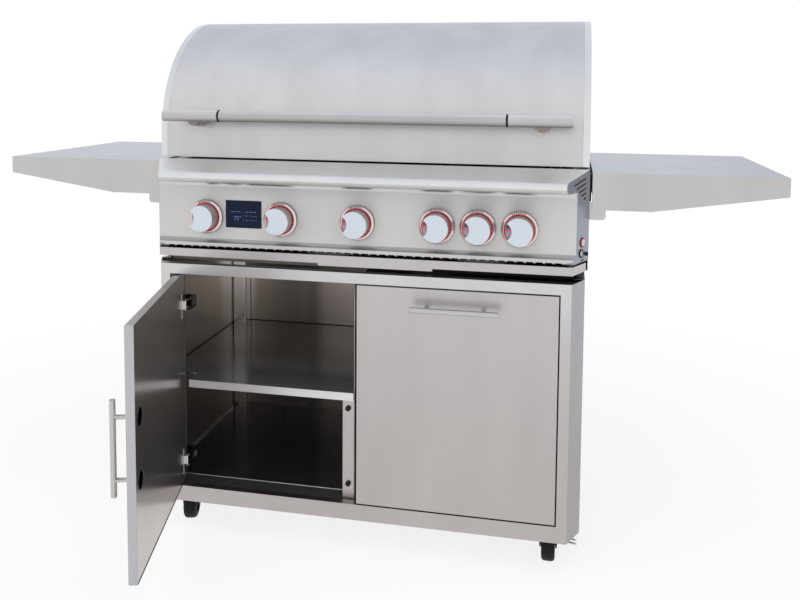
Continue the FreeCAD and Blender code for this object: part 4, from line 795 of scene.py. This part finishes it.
screen_glass = moulded("screen_glass", (0.008, 0.013, 0.036), 0.2, bump=0.0, shine=0.12)
rounded_copy("display_screen", screen_glass, radius=0.0008)
screen_mark = lit("screen_mark", (0.05, 0.06, 0.2), (0.14, 0.18, 0.48), 0.5)
mark_front = screen_low.y - 0.0002
mark_proud, mark_sunk = 0.0001, 0.0002


def screen_text(words, height, across, up):
    """Figures on the glass, as a flat mesh."""
    lettering = bpy.data.curves.new("figures", "FONT")
    lettering.body = words
    lettering.size = height
    lettering.align_x = "CENTER"
    lettering.align_y = "CENTER"
    lettering.extrude = mark_proud
    holder = bpy.data.objects.new("figures", lettering)
    form = bmesh.new()
    form.from_mesh(bpy.data.meshes.new_from_object(holder))
    bpy.data.objects.remove(holder)
    place = Matrix.Translation((screen_middle.x + across, mark_front, screen_middle.z + up))
    form.transform(place @ Matrix.Rotation(math.pi / 2, 4, "X"))
    return form


def screen_bar(left, right, low, high):
    """A short lit bar on the glass, placed from the screen's middle."""
    return bar_form((screen_middle.x + left, mark_front - mark_proud, screen_middle.z + low),
                    (screen_middle.x + right, mark_front + mark_sunk, screen_middle.z + high))


def screen_lines(starts, length, levels, thickness):
    """Level lit lines of one length, from each start on each level."""
    half = thickness / 2
    spots = [(left, level) for left in starts for level in levels]
    return [screen_bar(left, left + length, level - half, level + half) for left, level in spots]


heading_levels = (0.0055,)
reading_levels = (-0.0035, -0.0135)
marks = [screen_text("75°", height=0.0135, across=-0.0145, up=-0.0098)]
marks += screen_lines((-0.030, -0.022, -0.014), 0.006, heading_levels, 0.0012)
marks += screen_lines((0.004, 0.0135, 0.023), 0.0075, heading_levels, 0.0012)
marks += screen_lines((0.005,), 0.005, reading_levels, 0.0014)
marks += screen_lines((0.013,), 0.019, reading_levels, 0.0005)
marks.append(screen_bar(-0.0010, -0.0006, -0.019, 0.003))
finished("screen_marks", joined(*marks), screen_mark, "cart", "screen")

# Knob bezels: turned bright rings round the knobs, each with a lit red ring on its inner slope.
# A few dark strokes at the top show the settings.
# Painted glow and shade: the bezels' front is tinted pink with the red ring's glow, and their outer wall
# painted dark.
bezel_painted_glow = brushed_steel("bezel_painted_glow", (0.76, 0.68, 0.66), 0.26, grain="Z", contrast=0.08)
bezel_wall_shade = brushed_steel("bezel_wall_shade", (0.30, 0.30, 0.30), 0.3, grain="Y", contrast=0.1)
ring_light = lit("ring_light", (0.42, 0.004, 0.022), (0.62, 0.006, 0.045), 0.62)
mark_paint = moulded("mark_paint", (0.02, 0.02, 0.02), 0.5)
bezel_low, bezel_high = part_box("knob_bezels")
knob_level = (bezel_low.z + bezel_high.z) / 2
panel_face = bezel_high.y
bezel_height = bezel_high.y - bezel_low.y
bezel_outer = (bezel_high.z - bezel_low.z) / 2
bezel_inner = 0.0318
light_outer = bezel_inner + 0.0020
slope_foot, slope_top = bezel_outer - 0.0016, light_outer + 0.0008
slope_foot_height = 0.0070
bezel_profile = [(bezel_outer, 0.0), (bezel_outer, 0.0050), (bezel_outer - 0.0005, 0.0062),
                 (slope_foot, slope_foot_height), (slope_top, bezel_height), (light_outer, 0.0088),
                 (bezel_inner, 0.0062), (bezel_inner, 0.0)]
light_profile = [(light_outer - 0.0001, 0.0089), (bezel_inner - 0.0001, 0.0064), (bezel_inner, 0.0061),
                 (light_outer + 0.0001, 0.0086)]
forward = (0, -1, 0)
bezel_facing = 0.6
ring_steps = 72
stroke_half = Vector((0.0009, 0.0003, 0.0016))
stroke_spot = Vector((0, -0.0081, 0.0366))
stroke_tilt = -math.atan2(bezel_height - slope_foot_height, slope_foot - slope_top)
stroke_pitch, stroke_shift = 7, -4
bezels, lights, strokes = [], [], []
for across in knob_across.values():
    seat = Vector((across, panel_face, knob_level))
    bezels.append(turned_shape(bezel_profile, seat, forward, steps=ring_steps))
    lights.append(turned_shape(light_profile, seat, forward, steps=ring_steps))
    for step in range(-3, 4):
        stroke = bar_form(-stroke_half, stroke_half)
        round_ring = Matrix.Rotation(math.radians(stroke_pitch * step + stroke_shift), 4, "Y")
        stroke.transform(Matrix.Translation(seat) @ round_ring @ Matrix.Translation(stroke_spot)
                         @ Matrix.Rotation(stroke_tilt, 4, "X"))
        strokes.append(stroke)
bezel_form = joined(*bezels)
bezel_form.normal_update()
for face in bezel_form.faces:
    face.material_index = 1 if abs(face.normal.y) < bezel_facing else 0
finished("knob_bezels_finished", bezel_form, [bezel_painted_glow, bezel_wall_shade], "cart", slot_of["knob_bezels"],
         "knob_bezels")
finished("knob_lights", joined(*lights), ring_light, "cart", slot_of["knob_bezels"])
finished("knob_strokes", joined(*strokes), mark_paint, "cart", "black_plastic")

# Knobs: turned aluminium, with a satin face, a brushed side and a thumb scoop at the left edge.
# A red pointer runs down the scoop.
# Painted shade: the scoop is a darker copy of the metal, near-black towards its top, as in a hollow.
scoop_painted_shade = ("Z", knob_level - 0.012, knob_level + 0.012, (0.045, 0.047, 0.05))
knob_face = brushed_steel("knob_face", (0.67, 0.73, 0.81), 0.3, contrast=0.05, bump=0.02)
knob_side = brushed_steel("knob_side", (0.42, 0.425, 0.43), 0.36, grain="Y", contrast=0.1, bump=0.01,
                          metal=0.5)
knob_scoop = brushed_steel("knob_scoop", (0.36, 0.375, 0.40), 0.3, contrast=0.1, fade=scoop_painted_shade)
pointer_red = lit("pointer_red", (0.6, 0.01, 0.05), (0.9, 0.03, 0.12), 0.7)
knob_radius = 0.030
knob_front = panel_face - 0.040
knob_wall = 0.002
scoop_wall = -0.015
scoop_reach = scoop_wall + 0.012
scoop_floor = knob_front + 0.024
face_depth, floor_depth = 0.0005, 0.001
pointer_half = 0.0014
pointer_right, pointer_left = scoop_wall - 0.0003, scoop_wall - 0.0009
pointer_end = scoop_wall - 0.011
pointer_front = knob_front + 0.0006
pointer_top, pointer_foot = scoop_floor - 0.0009, scoop_floor - 0.0002
pointer_outline = [(pointer_right, pointer_front), (pointer_left, pointer_front), (pointer_left, pointer_top),
                   (pointer_end, pointer_top), (pointer_end, pointer_foot), (pointer_right, pointer_foot)]


def knob_finish(face, across):
    """The number of the satin face, the brushed side or the scoop, for the knob at a place across."""
    middle = face.calc_center_median()
    if middle.y < knob_front + face_depth and face.normal.y < -edge_facing:
        return 0
    from_axis = math.hypot(middle.x - across, middle.z - knob_level)
    in_scoop = middle.x < across + scoop_reach and from_axis < knob_radius - knob_wall
    return 2 if in_scoop and middle.y < scoop_floor + floor_depth else 1


for number, across in knob_across.items():
    rounded_copy(f"knob_{number}", [knob_face, knob_side, knob_scoop], radius=0.001,
                 choose=lambda face: knob_finish(face, across))
    corners = [(across + x, y, knob_level - pointer_half) for x, y in pointer_outline]
    pointer = slab(corners, (0, 0, pointer_half * 2))
    finished(f"knob_pointer_{number}", pointer, pointer_red, f"knob_{number}", "knob_metal")

# Power button on the right flared end: a satin push button in a lit red ring with a black collar.
# Under it is a probe socket with a rubber cap on a strap, and a narrow card slot.
outward = Vector((math.cos(flare_turn), -math.sin(flare_turn), 0))
along_flare = Vector((math.sin(flare_turn), math.cos(flare_turn), 0))
upward = Vector((0, 0, 1))
button_low, button_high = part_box("power_button")
button_seat = (button_low + button_high) / 2 + outward * 0.004
socket_seat = button_seat - upward * 0.0235 - along_flare * 0.005
cap_seat = socket_seat + along_flare * 0.0235 - upward * 0.004
slot_seat = socket_seat + along_flare * 0.0065 - upward * 0.0150
lit_ring = [(0.0083, -0.001), (0.0083, 0.0012), (0.0088, 0.0020), (0.0094, 0.0020), (0.0098, 0.0014),
            (0.0098, -0.001)]
collar = [(0.0098, -0.001), (0.0098, 0.0012), (0.0102, 0.0016), (0.0108, 0.0010), (0.0110, -0.001)]
socket_ring = [(0.0068, -0.001), (0.0068, 0.0014), (0.0072, 0.0018), (0.0090, 0.0018), (0.0094, 0.0012),
               (0.0094, -0.001)]
socket_dish = [(0.0, -0.001), (0.0, 0.0010), (0.0020, 0.0010), (0.0024, 0.0005), (0.0060, 0.0005),
               (0.0066, 0.0010), (0.0067, -0.001)]
cap = [(0.0, 0.0), (0.0040, 0.0), (0.0046, 0.0010), (0.0044, 0.0034), (0.0036, 0.0042), (0.0, 0.0046)]
strap_half, strap_thick = 0.0014, 0.0012
slot_half = Vector((0.0005, 0.0065, 0.0012))
slot_tilt = 0.12
socket_rubber = moulded("socket_rubber", (0.008, 0.008, 0.008), 0.55, shine=0.2)
rounded_copy("power_button", polished_bar, radius=0.0008)
finished("button_ring", turned_shape(lit_ring, button_seat, outward), ring_light, "cart", "black_plastic")
dish_form = turned_shape(socket_dish, socket_seat, outward)
finished("socket_dish", dish_form, polished_bar, "cart", "stainless_polished")
strap_start = socket_seat + along_flare * 0.008 + outward * 0.0015
strap_end = cap_seat - along_flare * 0.003 + outward * 0.0020
strap_spots = ((strap_start, -1), (strap_end, -1), (strap_end, 1), (strap_start, 1))
strap = slab([end + upward * side * strap_half for end, side in strap_spots], outward * strap_thick)
slot = bar_form(-slot_half, slot_half)
slot.transform(Matrix.Translation(slot_seat) @ Matrix.Rotation(-flare_turn, 4, "Z")
               @ Matrix.Rotation(slot_tilt, 4, "X"))
turned_rubber = [turned_shape(collar, button_seat, outward), turned_shape(socket_ring, socket_seat, outward),
                 turned_shape(cap, cap_seat, outward)]
finished("probe_socket", joined(*turned_rubber, strap, slot), socket_rubber, "cart", "black_plastic")

# Drip tray: a shallow pan behind a front rail that follows the flared corners, with a pull under the rail.
# It slides out on the head's feet, and the pull is a strip welded to the rail's back.
pan_front = 0.058
rail_back = -0.0025
pull_left, pull_right = -0.088, 0.171
pull_low, pull_high = 0.6525, 0.6620
pull_thick = 0.0015
rounded_copy("drip_tray", [stainless_front, tray_sheet], radius=0.0008, whole=False,
             choose=lambda face: 0 if face.calc_center_median().y < pan_front else 1)
pull = bar_form((pull_left, rail_back, pull_low), (pull_right, rail_back + pull_thick, pull_high),
                rounding=0.3)
finished("drip_tray_pull", pull, stainless_front, body_of["drip_tray"], slot_of["drip_tray"])

# Hood: a rolled sheet between two end caps, with a liner inside and a pivot at each end.
# The sheet is brushed across, and the caps' trims show as bright strips.
# Painted shade and reflection: the sheet is darker low down under the handle and at the top, which is a
# little bluish.
hood_painted_shade = ("Z", 0.93, 1.20, (0.70, 0.70, 0.705), (0.59, 0.59, 0.605))
stainless_hood = brushed_steel("stainless_hood", (0.60, 0.60, 0.61), 0.36, contrast=0.26, bump=0.01,
                               fade=hood_painted_shade)
stainless_trim = brushed_steel("stainless_trim", (0.74, 0.745, 0.75), 0.3, grain="Y")
rounded_copy("hood_shell", stainless_hood, radius=0.0004)
rounded_copy("hood_ends", stainless_trim, radius=0.0012)
rounded_copy("hood_liner", tray_sheet, radius=0.0004)
rounded_copy("hood_hinge_brackets", hinge_steel, radius=0.0008)

# Hood handle: a textured tube between two dark rings, with bright sleeves on posts.
# The grip is bead-blasted, so it is duller than the sleeves, and a turned collar covers each post.
# Painted shade: the grip and the sleeves are darker underneath and lighter along the top.
grip_painted_shade = ("Z", 0.969, 0.997, (0.52, 0.515, 0.515), (0.76, 0.755, 0.755))
sleeve_painted_shade = ("Z", 0.969, 0.997, (0.56, 0.55, 0.545), (0.78, 0.775, 0.77))
handle_grip = brushed_steel("handle_grip", (0.34, 0.33, 0.325), 0.46, contrast=0.15, bump=0.2, fade=grip_painted_shade)
handle_sleeve = brushed_steel("handle_sleeve", (0.36, 0.35, 0.345), 0.3, contrast=0.1, fade=sleeve_painted_shade)
handle_collar = brushed_steel("handle_collar", (0.27, 0.245, 0.235), 0.3, grain="Y", contrast=0.15)
rounded_copy("hood_handle_bar", handle_grip, radius=0.0006)
rounded_copy("hood_handle_rings", bumper_rubber, radius=0.0005)
rounded_copy("hood_handle_ends", handle_sleeve, radius=0.0010)
collar_across, collar_foot, collar_level = 0.400, 0.083, 0.9715
collar_profile = [(0.0, -0.001), (0.0175, -0.001), (0.0178, 0.010), (0.0170, 0.014), (0.0150, 0.040),
                  (0.0136, 0.052), (0.0, 0.052)]
collars = []
for side in (-1, 1):
    post_foot = (side * collar_across, collar_foot, collar_level)
    collars.append(turned_shape(collar_profile, post_foot, forward))
finished("handle_collars", joined(*collars), handle_collar, "hood", "stainless_polished")

# Side shelves: open-bottomed sheet pans that fold down on pins in brackets on the head's side plates.
# They are brushed like the fronts, and a rubber seal on each side plate fills the gap.
stainless_shelf_side = brushed_steel("stainless_shelf_side", (0.56, 0.555, 0.555), 0.34)
rounded_copy("side_shelf_right", stainless_shelf_side, radius=0.0016)
rounded_copy("side_shelf_left", stainless_shelf_side, radius=0.0016)
rounded_copy("shelf_brackets", stainless_side, radius=0.0008)
seal_inner, seal_outer = 0.5025, 0.5062
seal_front, seal_rear = 0.078, 0.583
seal_low, seal_high = 0.806, 0.866
seals = []
for left, right in ((seal_inner, seal_outer), (-seal_outer, -seal_inner)):
    seals.append(bar_form((left, seal_front, seal_low), (right, seal_rear, seal_high)))
finished("shelf_seals", joined(*seals), bumper_rubber, "cart", "soft_rubber")

# Screws: dome heads that hold the two back panels to the posts and the side plates.
# They are zinc plated, with a shallow flat on top.
screw_profile = [(0.0, -0.0005), (0.0045, -0.0005), (0.0045, 0.0006), (0.0038, 0.0016), (0.0024, 0.0021),
                 (0.0, 0.0021)]
cabinet_rear, cabinet_rows = 0.5200, (0.086, 0.355, 0.625)
head_rear, head_rows = 0.5465, (0.672, 0.860)
screw_columns = (-0.484, -0.242, 0.0, 0.242, 0.484)
screws = []
for rear, levels in ((cabinet_rear, cabinet_rows), (head_rear, head_rows)):
    for level in levels:
        for across in screw_columns:
            screws.append(turned_shape(screw_profile, (across, rear, level), (0, 1, 0), steps=16))
finished("back_screws", joined(*screws), hinge_steel, "cart", "stainless")
